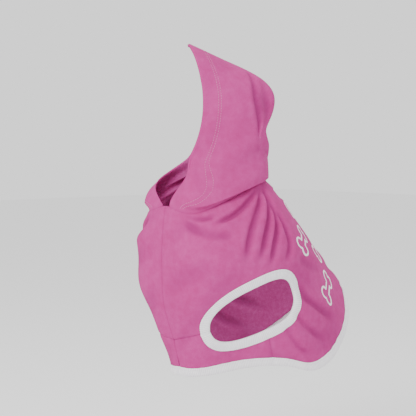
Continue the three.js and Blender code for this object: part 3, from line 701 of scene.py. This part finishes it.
def insideOpening(up, side, width):
    # places on a hood panel at one distance in from the opening's edge, square to it
    step = 1e-3
    zero = 0 * up
    edge = hoodBase(zero, up, side)
    overA = (hoodBase(zero + step, up, side) - edge) / step
    overB = (hoodBase(zero, up + step, side) - hoodBase(zero, up - step, side)) / (2 * step)
    inward = unit(overA - unit(overB) * (overA * unit(overB)).sum(-1, keepdims=True))
    target = edge + inward * width
    a, b = width / np.linalg.norm(overA, axis=-1), up.copy()
    for _ in range(8):
        here = hoodBase(a, b, side)
        da = (hoodBase(a + step, b, side) - here) / step
        db = (hoodBase(a, b + step, side) - here) / step
        miss = target - here
        aa, bb, ab = (da * da).sum(-1), (db * db).sum(-1), (da * db).sum(-1)
        ma, mb = (da * miss).sum(-1), (db * miss).sum(-1)
        size = aa * bb - ab * ab
        a = np.clip(a + (bb * ma - ab * mb) / size, 0, 1)
        b = np.clip(b + (aa * mb - ab * ma) / size, 0.001, 0.999)
    return a, b


def hoodWall(along, up, side):
    face = hoodFace(along, up, side)
    normal = hoodNormal(hoodFace, along, up, side, 1e-3, 0)
    isHem = 1 - smoothStep(*hoodZones["hemFade"], along - hemEnd(up, side, clothLook["hemWidth"]))
    pressed = 1 - (1 - clothLook["pressed"]) * within(hoodZones["pressedUp"], up)
    back = face - normal * ((clothLook["wall"] + clothLook["hemExtra"] * isHem) * pressed)[..., None]
    seam = bodyBase(readTable(ridgeShape, "along", along, "degrees") / 360, np.ones_like(up))
    rise = face[..., 2] - seam[..., 2]
    # its lower edge sits on the body's neck edge
    lower = clothLook["seamSink"] * (1 - smoothStep(*hoodZones["sinkUp"], up))
    apart = np.stack([0 * up, 0 * up + side * clothLook["seamGap"] / 2, clothLook["seamGap"] - lower], -1)
    return turned(face + apart, rise), turned(back + apart, rise)


def makeHood(name, side):
    along = spaced(0, 1, hoodGrid["columns"], hoodGrid["nearOpening"], fineSteps, hoodGrid["length"])
    rows = np.linspace(0, 1, hoodGrid["rows"]) ** hoodGrid["rowsLow"]
    nearRidge = [1 - mm / hoodGrid["height"] for mm in fineSteps]
    rows = np.unique(np.concatenate([rows, nearRidge, hoodGrid["nearRoll"]]))
    along, up = np.meshgrid(along, rows, indexing="ij")
    face, back = hoodWall(along, up, side)
    relief = hoodRelief(along, up, np.full(up.shape, side))
    cells = np.ones((along.shape[0] - 1, along.shape[1] - 1), bool)
    return wallPiece(name, face, back, hoodFlat(along, up) * np.array([1, 1.2]), cells, relief, bulge=0.9)


bindingSizes = {
    "width": 10, "thick": 1.1, "puff": 0.5, "armholeStations": 300, "hemStations": 620,
    # the rib swells and thins a little along the strip; turn left open at each end of the hem's strip
    "wave": 0.12, "waveLength": 7, "endTurn": 0.0003,
}


def bindingProfile():
    # U-shaped section round the cloth's edge: how far into the cloth, how far over its face
    w, t, p, wall = bindingSizes["width"], bindingSizes["thick"], bindingSizes["puff"], clothLook["wall"]
    outer = [
        (w, 0.15), (w + 0.1, 0.6 * t), (w - 0.6, t), (w - 1.8, t + 0.25 * p), (w - 2.6, t - 0.05),
        (w - 3.4, t + 0.4 * p), (0.45 * w, t + p), (0.2 * w, t + p), (-0.3, t + 0.5 * p), (-1.5, 0.6 * t),
        (-2.1, -0.2 * wall),
    ]
    inner = [
        (-2.1, -0.8 * wall), (-1.5, -wall - 0.6 * t), (-0.3, -wall - t - 0.5 * p), (0.2 * w, -wall - t - p),
        (0.5 * w, -wall - t - 0.6 * p), (w - 1, -wall - t), (w, -wall - 0.6 * t), (w, -wall - 0.15),
    ]
    lining = [(0.5 * w, -wall - 0.15), (0, -wall - 0.12), (-0.35, -wall / 2), (0, 0.12), (0.5 * w, 0.15)]
    return np.array(outer + inner + lining)


def swollen(over, wave):
    # the profile's outer and inner face with the wave on them
    return over + wave * (over > 0.5) - wave * (over < -2.2)


def ringFaces(stations, size, closedRing=True):
    i = np.arange(stations if closedRing else stations - 1)[:, None]
    j = np.arange(size)[None, :]
    a, b = i * size + j, ((i + 1) % stations) * size + j
    c, d = ((i + 1) % stations) * size + (j + 1) % size, i * size + (j + 1) % size
    return np.stack([a, b, c, d], -1).reshape(-1, 4)


def ringPiece(name, profiles, along, closedRing=True):
    # a strip bent round an edge, one section at each station
    stations, size = profiles.shape[:2]
    vertices = profiles.reshape(-1, 3)
    faces = ringFaces(stations, size, closedRing)
    if not closedRing:
        ends = []
        for first in (0, (stations - 1) * size):
            for k in range(size // 2 - 1):
                cap = [first + k, first + k + 1, first + size - 2 - k, first + size - 1 - k]
                ends.append(cap[::-1] if first == 0 else cap)
        faces = np.concatenate([faces, np.array(ends)])
    steps = np.linalg.norm(np.diff(profiles[0], axis=0, append=profiles[0][:1]), axis=1)
    across = np.concatenate([[0], np.cumsum(steps)[:-1]])
    uv = np.stack(np.broadcast_arrays(along[:, None], across[None, :]), -1).reshape(-1, 2)
    return makeMesh(name, vertices, faceOut(vertices, faces), uv)


def lengthsAlong(points):
    steps = np.linalg.norm(np.diff(points, axis=0), axis=1)
    return np.concatenate([[0], np.cumsum(steps)])


def armholePlaces(angles, side):
    # an armhole's edge, and a function that gives the places on the cloth at a distance from it
    first = guessOnSide(armholeOutline(angles, 0), side)
    edge, beside = (bodyFace(*placeOnSide(armholeOutline(angles, margin), side, *first)) for margin in (0, 1))
    stretch = np.linalg.norm(beside - edge, axis=-1)

    def placesAt(away):
        return placeOnSide(armholeOutline(angles, away / stretch), side, *first)
    return edge, placesAt


def makeArmholeBinding(name, side):
    profile = bindingProfile()
    count = bindingSizes["armholeStations"]
    edge, placesAt = armholePlaces(2 * np.pi * np.arange(count) / count, side)
    along = lengthsAlong(edge)
    seed = noiseSeeds["armholeBinding"] + side
    wave = bindingSizes["wave"] * softNoise(along, 0 * along, bindingSizes["waveLength"], seed)
    profiles = np.empty((count, len(profile), 3))
    for k, (into, over) in enumerate(profile):
        turn, up = placesAt(into)
        normal = outwardNormal(bodyFace, turn, up)
        profiles[:, k] = bodyFace(turn, up) + normal * swollen(over, wave)[:, None]
    return ringPiece(name, profiles, along)


def hemEdge(turn):
    edge = bodyFace(turn, 0 * turn)
    slope = (bodyFace(turn, 0 * turn + 0.01) - edge) / 0.01
    return edge, slope, np.linalg.norm(slope, axis=-1)


def makeHemBinding():
    profile = bindingProfile()
    count = bindingSizes["hemStations"]
    turn = np.linspace(bindingSizes["endTurn"], 1 - bindingSizes["endTurn"], count)
    edge, slope, reach = hemEdge(turn)
    along = lengthsAlong(edge)
    wave = softNoise(along, 0 * along, bindingSizes["waveLength"], noiseSeeds["hemBinding"])
    wave = bindingSizes["wave"] * wave
    # the ends of the strip are rounded off
    endRound = 1 - 0.25 * (np.exp(-(along / 1.2) ** 2) + np.exp(-((along[-1] - along) / 1.2) ** 2))
    profiles = np.empty((count, len(profile), 3))
    for k, (into, over) in enumerate(profile):
        up = np.maximum(into, 0) / reach
        normal = outwardNormal(bodyFace, turn, up)
        point = bodyFace(turn, up) + unit(slope) * min(into, 0)
        lift = swollen(over, wave) * endRound
        profiles[:, k] = point + normal * lift[:, None]
    return ringPiece("hemBinding", profiles, along, closedRing=False)


pieces = {"coatBody": makeBody()}
print("body made")
for word, side in (("Left", -1), ("Right", 1)):
    pieces["belly" + word] = makeBelly("belly" + word, side)
    pieces["hood" + word] = makeHood("hood" + word, side)
    pieces["armholeBinding" + word] = makeArmholeBinding("armholeBinding" + word, side)
pieces["hemBinding"] = makeHemBinding()
print("panels and bindings made")


# screen print: plain bone outlines in staggered rows on the back, millimetres
printSizes = {"length": 42, "lobe": 6.9, "shaft": 4.5, "stroke": 2.6, "thick": 0.22, "lift": 0.12,
              "tilt": -12, "step": 1.2}
# how far down from the nape each row is, and how far round from the spine its outlines are
printRows = {46: (-42, 42), 82: (-86, 0, 86), 118: (-42, 42), 152: (-86, 86)}


def boneOutline():
    p = printSizes
    cx, cy, r = p["length"] / 2 - p["lobe"], 0.8 * p["lobe"], p["lobe"]
    start, stop = math.pi - math.asin((p["shaft"] - cy) / r), -math.asin(cy / r)
    sweep = np.linspace(start, stop, 40)
    upper = np.stack([cx + r * np.cos(sweep), cy + r * np.sin(sweep)], -1)
    lower = upper[::-1] * np.array([1, -1])
    right = np.concatenate([upper, lower[1:]])
    outline = np.concatenate([right, -right])
    closed = np.concatenate([outline, outline[:1]])
    lengths = lengthsAlong(closed)
    places = np.arange(0, lengths[-1], p["step"])
    return np.stack([np.interp(places, lengths, closed[:, k]) for k in (0, 1)], -1)


def backMap():
    # lengths on the cloth round the body from the spine, at heights down the back
    ups = np.linspace(0, 1, 90)
    turns = np.linspace(0.5, 0.93, 160)
    points = bodyBase(turns[None, :], ups[:, None])
    steps = np.linalg.norm(np.diff(points, axis=1), axis=-1)
    around = np.concatenate([np.zeros((len(ups), 1)), np.cumsum(steps, 1)], 1)
    spine = lengthsAlong(points[::-1, 0])
    return ups[::-1], spine, turns, around[::-1]


def onBack(flat, spineUps, spine, turns, around):
    # flat is round from the spine, wearer's left negative, and down from the nape
    up = np.interp(flat[:, 1], spine, spineUps)
    row = np.clip(np.searchsorted(-spineUps, -up), 0, len(spineUps) - 1)
    turn = np.empty(len(flat))
    for k in range(len(flat)):
        away = np.interp(abs(flat[k, 0]), around[row[k]], turns) - 0.5
        turn[k] = 0.5 + away * (1 if flat[k, 0] < 0 else -1)
    return turn, up


def makePrint():
    outline = boneOutline()
    ahead = unit(np.roll(outline, -1, 0) - np.roll(outline, 1, 0))
    across = np.stack([-ahead[:, 1], ahead[:, 0]], -1)
    maps = backMap()
    tilt = math.radians(printSizes["tilt"])
    turnBy = np.array([[math.cos(tilt), -math.sin(tilt)], [math.sin(tilt), math.cos(tilt)]])
    # section of a stroke: off its middle, over the cloth
    half, thick = printSizes["stroke"] / 2, printSizes["thick"]
    section = [(-half, -0.5), (-half, 0.6 * thick), (-half + 0.25, thick), (0, thick), (half - 0.25, thick),
               (half, 0.6 * thick), (half, -0.5)]
    ringQuads = ringFaces(len(outline), len(section))
    vertices, faces = [], []
    for bone in [(aside, down) for down, asides in printRows.items() for aside in asides]:
        rings = []
        for off, over in section:
            turn, up = onBack((outline + across * off) @ turnBy.T + np.array(bone), *maps)
            rings.append(bodyFace(turn, up) + outwardNormal(bodyFace, turn, up) * (over + printSizes["lift"]))
        ring = np.stack(rings, 1).reshape(-1, 3)
        faces.append(faceOut(ring - ring.mean(0), ringQuads) + sum(len(v) for v in vertices))
        vertices.append(ring)
    return makeMesh("backPrint", np.concatenate(vertices), np.concatenate(faces))


pieces["backPrint"] = makePrint()
print("print made")


# stitches, by Geometry Nodes along lines laid on the cloth, metres
stitchSizes = {
    "hoodHem": {"pitch": 0.0031, "stitchLength": 0.0026, "stitchWidth": 0.0007, "stitchHeight": 0.0005},
    "binding": {"pitch": 0.0029, "stitchLength": 0.0025, "stitchWidth": 0.0006, "stitchHeight": 0.0005},
}
stitchPlaces = {"hoodHem": (17.6, 21.0), "bindingOuter": 2.6}  # millimetres in from the edge


def addNode(tree, kind, inputs=None, **settings):
    node = tree.nodes.new(kind)
    for name, value in settings.items():
        setattr(node, name, value)
    for key, value in (inputs or {}).items():
        if isinstance(value, bpy.types.NodeSocket):
            tree.links.new(value, node.inputs[key])
        else:
            node.inputs[key].default_value = value
    return node


def linear(text):
    parts = [int(text[k:k + 2], 16) / 255 for k in (1, 3, 5)]
    return (*[c / 12.92 if c <= 0.04045 else ((c + 0.055) / 1.055) ** 2.4 for c in parts], 1)


def stitchTree():
    # flat little beads set along a line, as long as a stitch and turned out of the cloth
    tree = bpy.data.node_groups.new("stitchRow", "GeometryNodeTree")
    face = tree.interface
    face.new_socket("Geometry", in_out="INPUT", socket_type="NodeSocketGeometry")
    for name, value in stitchSizes["binding"].items():
        face.new_socket(name, in_out="INPUT", socket_type="NodeSocketFloat").default_value = value
    face.new_socket("thread", in_out="INPUT", socket_type="NodeSocketMaterial")
    face.new_socket("Geometry", in_out="OUTPUT", socket_type="NodeSocketGeometry")
    given = addNode(tree, "NodeGroupInput").outputs
    line = addNode(tree, "GeometryNodeMeshToCurve", {"Mesh": given["Geometry"]})
    even = addNode(tree, "GeometryNodeResampleCurve", {"Curve": line.outputs[0], "Length": given["pitch"]},
                   mode="LENGTH")
    out = addNode(tree, "GeometryNodeInputNamedAttribute", {"Name": "out"}, data_type="FLOAT_VECTOR")
    tangent = addNode(tree, "GeometryNodeInputTangent")
    turn = addNode(tree, "FunctionNodeAxesToRotation",
                   {"Primary Axis": out.outputs[0], "Secondary Axis": tangent.outputs[0]},
                   primary_axis="Z", secondary_axis="X")
    ball = addNode(tree, "GeometryNodeMeshUVSphere", {"Segments": 6, "Rings": 4, "Radius": 0.5})
    size = addNode(tree, "ShaderNodeCombineXYZ",
                   {"X": given["stitchLength"], "Y": given["stitchWidth"], "Z": given["stitchHeight"]})
    stitch = addNode(tree, "GeometryNodeTransform", {"Geometry": ball.outputs[0], "Scale": size.outputs[0]})
    vary = addNode(tree, "FunctionNodeRandomValue", {2: 0.92, 3: 1.08, "Seed": 4}, data_type="FLOAT")
    rows = addNode(tree, "GeometryNodeInstanceOnPoints",
                   {"Points": even.outputs[0], "Instance": stitch.outputs[0], "Rotation": turn.outputs[0],
                    "Scale": vary.outputs[1]})
    real = addNode(tree, "GeometryNodeRealizeInstances", {"Geometry": rows.outputs[0]})
    smooth = addNode(tree, "GeometryNodeSetShadeSmooth", {"Geometry": real.outputs[0]})
    painted = addNode(tree, "GeometryNodeSetMaterial",
                      {"Geometry": smooth.outputs[0], "Material": given["thread"]})
    addNode(tree, "NodeGroupOutput", {0: painted.outputs[0]})
    return tree


def stitchRows(name, lines, material, sizes):
    # lines are lists of places with their directions out of the cloth, in millimetres
    mesh = bpy.data.meshes.new(name + "Line")
    vertices, edges, outs = [], [], []
    for points, out in lines:
        first = len(vertices)
        vertices += toFrame(points).tolist()
        outs += out.tolist()
        edges += [(first + k, first + k + 1) for k in range(len(points) - 1)]
    mesh.from_pydata(vertices, edges, [])
    mesh.attributes.new("out", "FLOAT_VECTOR", "POINT").data.foreach_set("vector", np.array(outs).ravel())
    source = addObject(name + "Line", mesh)
    modifier = source.modifiers.new("stitches", "NODES")
    modifier.node_group = bpy.data.node_groups.get("stitchRow") or stitchTree()
    given = dict(sizes, thread=material)
    for item in modifier.node_group.interface.items_tree:
        if item.item_type == "SOCKET" and item.in_out == "INPUT" and item.name in given:
            modifier[item.identifier] = given[item.name]
    shown = source.evaluated_get(bpy.context.evaluated_depsgraph_get())
    made = bpy.data.meshes.new_from_object(shown)
    made.name = name
    bpy.data.objects.remove(source)
    return addObject(name, made)


def evened(values, reach=16):
    # the needle runs in an even curve
    before, after = 2 * values[0] - values[reach:0:-1], 2 * values[-1] - values[-2:-reach - 2:-1]
    padded = np.concatenate([before, values, after])
    weights = np.hanning(2 * reach + 3)[1:-1]
    return np.convolve(padded, weights / weights.sum(), "valid")


def hoodStitchLines(side):
    lines = []
    for width in stitchPlaces["hoodHem"]:
        up = np.linspace(0.03, 0.992, 260)
        along, up = insideOpening(up, side, width)
        along, up = evened(along), evened(up)
        keep = (up > 0.012) & (up < 0.994)
        along, up = along[keep], up[keep]
        face, back = hoodWall(along, up, side)
        out = unit(face - back)
        lines.append((face + out * 0.05, out))
    return lines


def bindingLines(turn, up):
    # one row on the outer face of a binding and one on its inner face
    normal = outwardNormal(bodyFace, turn, up)
    face = bodyFace(turn, up)
    over = bindingSizes["thick"] - 0.02
    return [(face + normal * over, normal), (face - normal * (clothLook["wall"] + over + 0.1), -normal)]


def hemStitchLines():
    turn = np.linspace(0.002, 0.998, 700)
    return bindingLines(turn, (bindingSizes["width"] - stitchPlaces["bindingOuter"]) / hemEdge(turn)[2])


def armholeStitchLines(side):
    placesAt = armholePlaces(np.linspace(0, 2 * np.pi, 401), side)[1]
    return bindingLines(*placesAt(bindingSizes["width"] - stitchPlaces["bindingOuter"]))


def shaderTree(name):
    material = bpy.data.materials.new(name)
    material.use_nodes = True
    material.node_tree.nodes.clear()
    return material, material.node_tree


def mathNode(tree, operation, a, b=0.0):
    return addNode(tree, "ShaderNodeMath", {0: a, 1: b}, operation=operation).outputs[0]


def mixed(tree, a, shareA, b, shareB):
    return mathNode(tree, "ADD", mathNode(tree, "MULTIPLY", a, shareA), mathNode(tree, "MULTIPLY", b, shareB))


def unevenness(tree, size, detail, roughness=0.5):
    # noise in the cloth's own place, its size in millimetres
    place = addNode(tree, "ShaderNodeTexCoord").outputs["Object"]
    return addNode(tree, "ShaderNodeTexNoise", {"Vector": place, "Scale": 1000 / size, "Detail": detail,
                                                "Roughness": roughness}).outputs[0]


def colorRamp(tree, tone, ends, first, last, middle=None):
    node = addNode(tree, "ShaderNodeValToRGB", {0: tone})
    for element, position, text in zip(node.color_ramp.elements, ends, (first, last)):
        element.position, element.color = position, linear(text)
    if middle:
        node.color_ramp.elements.new(0.5).color = linear(middle)
    return node.outputs[0]


def closeTree(tree, color, roughness, height, strength, depth, more=None):
    # depth of the relief in millimetres
    bump = addNode(tree, "ShaderNodeBump", {"Strength": strength, "Distance": depth / 1000, "Height": height})
    given = {"Base Color": color, "Roughness": roughness, "Normal": bump.outputs[0]}
    shader = addNode(tree, "ShaderNodeBsdfPrincipled", {**given, **(more or {})})
    addNode(tree, "ShaderNodeOutputMaterial", {"Surface": shader.outputs[0]})


jersey = {
    # sweatshirt knit, brushed inside: matte with a soft halo of fibres, plain stitches 1.3 mm apart
    # the darkest colour, mixed into the folds' hollows, is painted shade
    "dark": "#aa3276", "base": "#b23981", "light": "#ba438b", "paintedFoldShade": "#84235e", "wale": 1.3, "course": 1.1,
    "mottle": 9, "fuzz": 0.9, "broad": 60, "bump": 0.16,
}


def clothMaterial(name, look, inside=False):
    material, tree = shaderTree(name)
    uv = addNode(tree, "ShaderNodeUVMap", uv_map="clothMap").outputs[0]
    # wales run up the cloth and courses across it, in real millimetres
    mapped = addNode(tree, "ShaderNodeMapping",
                     {"Vector": uv, "Scale": (1000 / look["wale"], 1000 / look["course"], 1)})
    split = addNode(tree, "ShaderNodeSeparateXYZ", {0: mapped.outputs[0]})
    wale = mathNode(tree, "SINE", mathNode(tree, "MULTIPLY", split.outputs[0], 2 * math.pi))
    wale = mathNode(tree, "ABSOLUTE", wale)
    lean = mixed(tree, split.outputs[1], 1, wale, 0.5)
    course = mathNode(tree, "SINE", mathNode(tree, "MULTIPLY", lean, 2 * math.pi))
    knit = mixed(tree, wale, 0.6, course, 0.25)
    mottle = unevenness(tree, look["mottle"], 3, 0.6)
    fuzz = unevenness(tree, look["fuzz"], 2, 0.7)
    tone = mixed(tree, mottle, 0.55, fuzz, 0.45)
    tone = mixed(tree, tone, 0.75, unevenness(tree, look["broad"], 1), 0.25)
    color = colorRamp(tree, tone, (0.34, 0.66), look["dark"], look["light"], look["base"])
    # painted shade: the folds' hollows are darkened in the colour, up to 0.55 of the way to a dark pink
    paintedFoldShade = addNode(tree, "ShaderNodeAttribute", attribute_name="paintedFoldShade").outputs["Fac"]
    paintedShadeMix = addNode(tree, "ShaderNodeMix",
                   {0: mathNode(tree, "MULTIPLY", paintedFoldShade, 0.55), 6: color, 7: linear(look["paintedFoldShade"])},
                   data_type="RGBA")
    height = mixed(tree, knit, 0.2 if inside else 0.5, fuzz, 1.2 if inside else 0.7)
    rough = mathNode(tree, "ADD", mathNode(tree, "MULTIPLY", fuzz, 0.12), 0.84)
    closeTree(tree, paintedShadeMix.outputs[2], rough, height, 0.75, look["bump"], {
        "Sheen Weight": 0.08, "Sheen Roughness": 0.45, "Sheen Tint": linear("#e06aa8"), "IOR": 1.5,
        "Specular IOR Level": 0.08})
    return material


rib = {
    "light": "#f7f5f7", "base": "#efecf0", "shade": "#d9d3dc",
    "pitch": 2.2, "mottle": 7, "fuzz": 1, "bump": 0.22,
}


def ribMaterial():
    # 1x1 rib of cotton and elastane, folded over the edge: soft ridges 2.2 mm apart across the strip
    material, tree = shaderTree("cottonRibKnit")
    uv = addNode(tree, "ShaderNodeUVMap", uv_map="clothMap").outputs[0]
    split = addNode(tree, "ShaderNodeSeparateXYZ", {0: uv})
    along = mathNode(tree, "MULTIPLY", split.outputs[0], 1000 / rib["pitch"] * 2 * math.pi)
    ridge = mathNode(tree, "ADD", mathNode(tree, "MULTIPLY", mathNode(tree, "SINE", along), 0.5), 0.5)
    # painted shade: the rib's troughs are darker in the colour, mixed half and half with random mottle
    tone = mixed(tree, ridge, 0.5, unevenness(tree, rib["mottle"], 2), 0.5)
    color = colorRamp(tree, tone, (0.15, 0.8), rib["shade"], rib["light"], rib["base"])
    height = mixed(tree, ridge, 1, unevenness(tree, rib["fuzz"], 2), 0.5)
    closeTree(tree, color, 0.86, height, 0.6, rib["bump"],
              {"Sheen Weight": 0.2, "Sheen Roughness": 0.5, "Specular IOR Level": 0.3})
    return material


def threadMaterial(name, text, roughness):
    # spun polyester sewing thread: slight gloss, twist of 0.4 mm
    material, tree = shaderTree(name)
    place = addNode(tree, "ShaderNodeTexCoord").outputs["Object"]
    twist = addNode(tree, "ShaderNodeTexWave", {"Vector": place, "Scale": 1000 / 0.8, "Distortion": 2},
                    bands_direction="DIAGONAL").outputs[1]
    # painted highlight: the twist's ridges are mixed up to 0.12 of the way towards white in the colour
    light = addNode(tree, "ShaderNodeMix", {0: mathNode(tree, "MULTIPLY", twist, 0.12), 6: linear(text),
                                            7: linear("#ffffff")}, data_type="RGBA")
    closeTree(tree, light.outputs[2], roughness, twist, 0.4, 0.08)
    return material


def inkMaterial():
    # plastisol ink pressed into the knit: flat off-white that lets the stitches show through
    material, tree = shaderTree("plastisolPrintInk")
    grain = unevenness(tree, 1.1, 2)
    closeTree(tree, colorRamp(tree, grain, (0.32, 0.6), "#e3cfdb", "#f6f1f4"), 0.6, grain, 0.6, 0.12)
    return material


jerseyFace = clothMaterial("cottonFleeceFace", jersey)
brushed = dict(jersey, base="#b5488b", light="#bf589a", dark="#a93b7d", mottle=4, fuzz=1.4, bump=0.4)
jerseyBack = clothMaterial("cottonFleeceBrushedBack", brushed, inside=True)
ribKnit = ribMaterial()
pinkThread = threadMaterial("polyesterThreadPink", "#bf5592", 0.6)
whiteThread = threadMaterial("polyesterThreadWhite", "#e4dfe5", 0.55)

for name, piece in pieces.items():
    piece.data.materials.clear()
    if name.startswith(("coat", "belly", "hood")):
        piece.data.materials.append(jerseyFace)
        piece.data.materials.append(jerseyBack)
        slots = np.zeros(len(piece.data.polygons), int)
        slots[-piece["backFaces"]:] = 1
        piece.data.polygons.foreach_set("material_index", slots)
    elif name == "backPrint":
        piece.data.materials.append(inkMaterial())
    else:
        piece.data.materials.append(ribKnit)

pieces["hoodHemStitches"] = stitchRows(
    "hoodHemStitches", hoodStitchLines(-1) + hoodStitchLines(1), pinkThread, stitchSizes["hoodHem"])
pieces["bindingStitches"] = stitchRows(
    "bindingStitches", hemStitchLines() + armholeStitchLines(-1) + armholeStitchLines(1), whiteThread,
    stitchSizes["binding"])
print("stitches made:", *(len(pieces[name].data.polygons) for name in ("hoodHemStitches", "bindingStitches")))

# what rides on what, and what each piece stands for
standsFor = {
    "coatBody": "body_panel", "bellyLeft": "belly_panel_left", "bellyRight": "belly_panel_right",
    "hoodLeft": "hood_panel_left", "hoodRight": "hood_panel_right", "hemBinding": "hem_binding",
    "armholeBindingLeft": "armhole_binding_left", "armholeBindingRight": "armhole_binding_right",
}
for name, piece in pieces.items():
    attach(piece, "root")
    if name in standsFor:
        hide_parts(standsFor[name])

# matte white floor and a soft white room, as in a product photo
floorMaterial, floorTree = shaderTree("paintedBoardFloor")
floorShader = addNode(floorTree, "ShaderNodeBsdfPrincipled",
                      {"Base Color": linear("#f6f6f6"), "Roughness": 0.9})
addNode(floorTree, "ShaderNodeOutputMaterial", {"Surface": floorShader.outputs[0]})
floorMesh = bpy.data.meshes.new("studioFloor")
floorHalf, floorLevel = 6, -0.36
corners = [(x * floorHalf, y * floorHalf, floorLevel) for x, y in ((-1, -1), (1, -1), (1, 1), (-1, 1))]
floorMesh.from_pydata(corners, [], [(0, 1, 2, 3)])
floor = addObject("studioFloor", floorMesh)
floor.data.materials.append(floorMaterial)

world = bpy.data.worlds.new("softWhite")
world.use_nodes = True
world.node_tree.nodes["Background"].inputs[0].default_value = linear("#ffffff")
world.node_tree.nodes["Background"].inputs[1].default_value = 1.3
bpy.context.scene.world = world

lights = {  # place, power in watts, side in metres
    "keyFront": ((-1.7, -0.7, 1.0), 34, 0.8),
    "topBack": ((0.5, 0.2, 1.8), 12, 1.0),
}
for name, (place, power, side) in lights.items():
    light = bpy.data.lights.new(name, "AREA")
    light.energy, light.size = power, side
    holder = addObject(name, light)
    holder.location = place
    holder.rotation_euler = (Vector((0, 0, -0.03)) - Vector(place)).to_track_quat("-Z", "Y").to_euler()

camera = addObject("photoCamera", bpy.data.cameras.new("photoCamera"))
camera.location = (-1.5916, -1.7669, 0.1011)
target = Vector((0.0121, 0.0142, -0.0245))
camera.rotation_euler = (target - camera.location).to_track_quat("-Z", "Y").to_euler()
camera.data.sensor_width, camera.data.lens = 36, 166.15
bpy.context.scene.camera = camera
print("light and camera set")
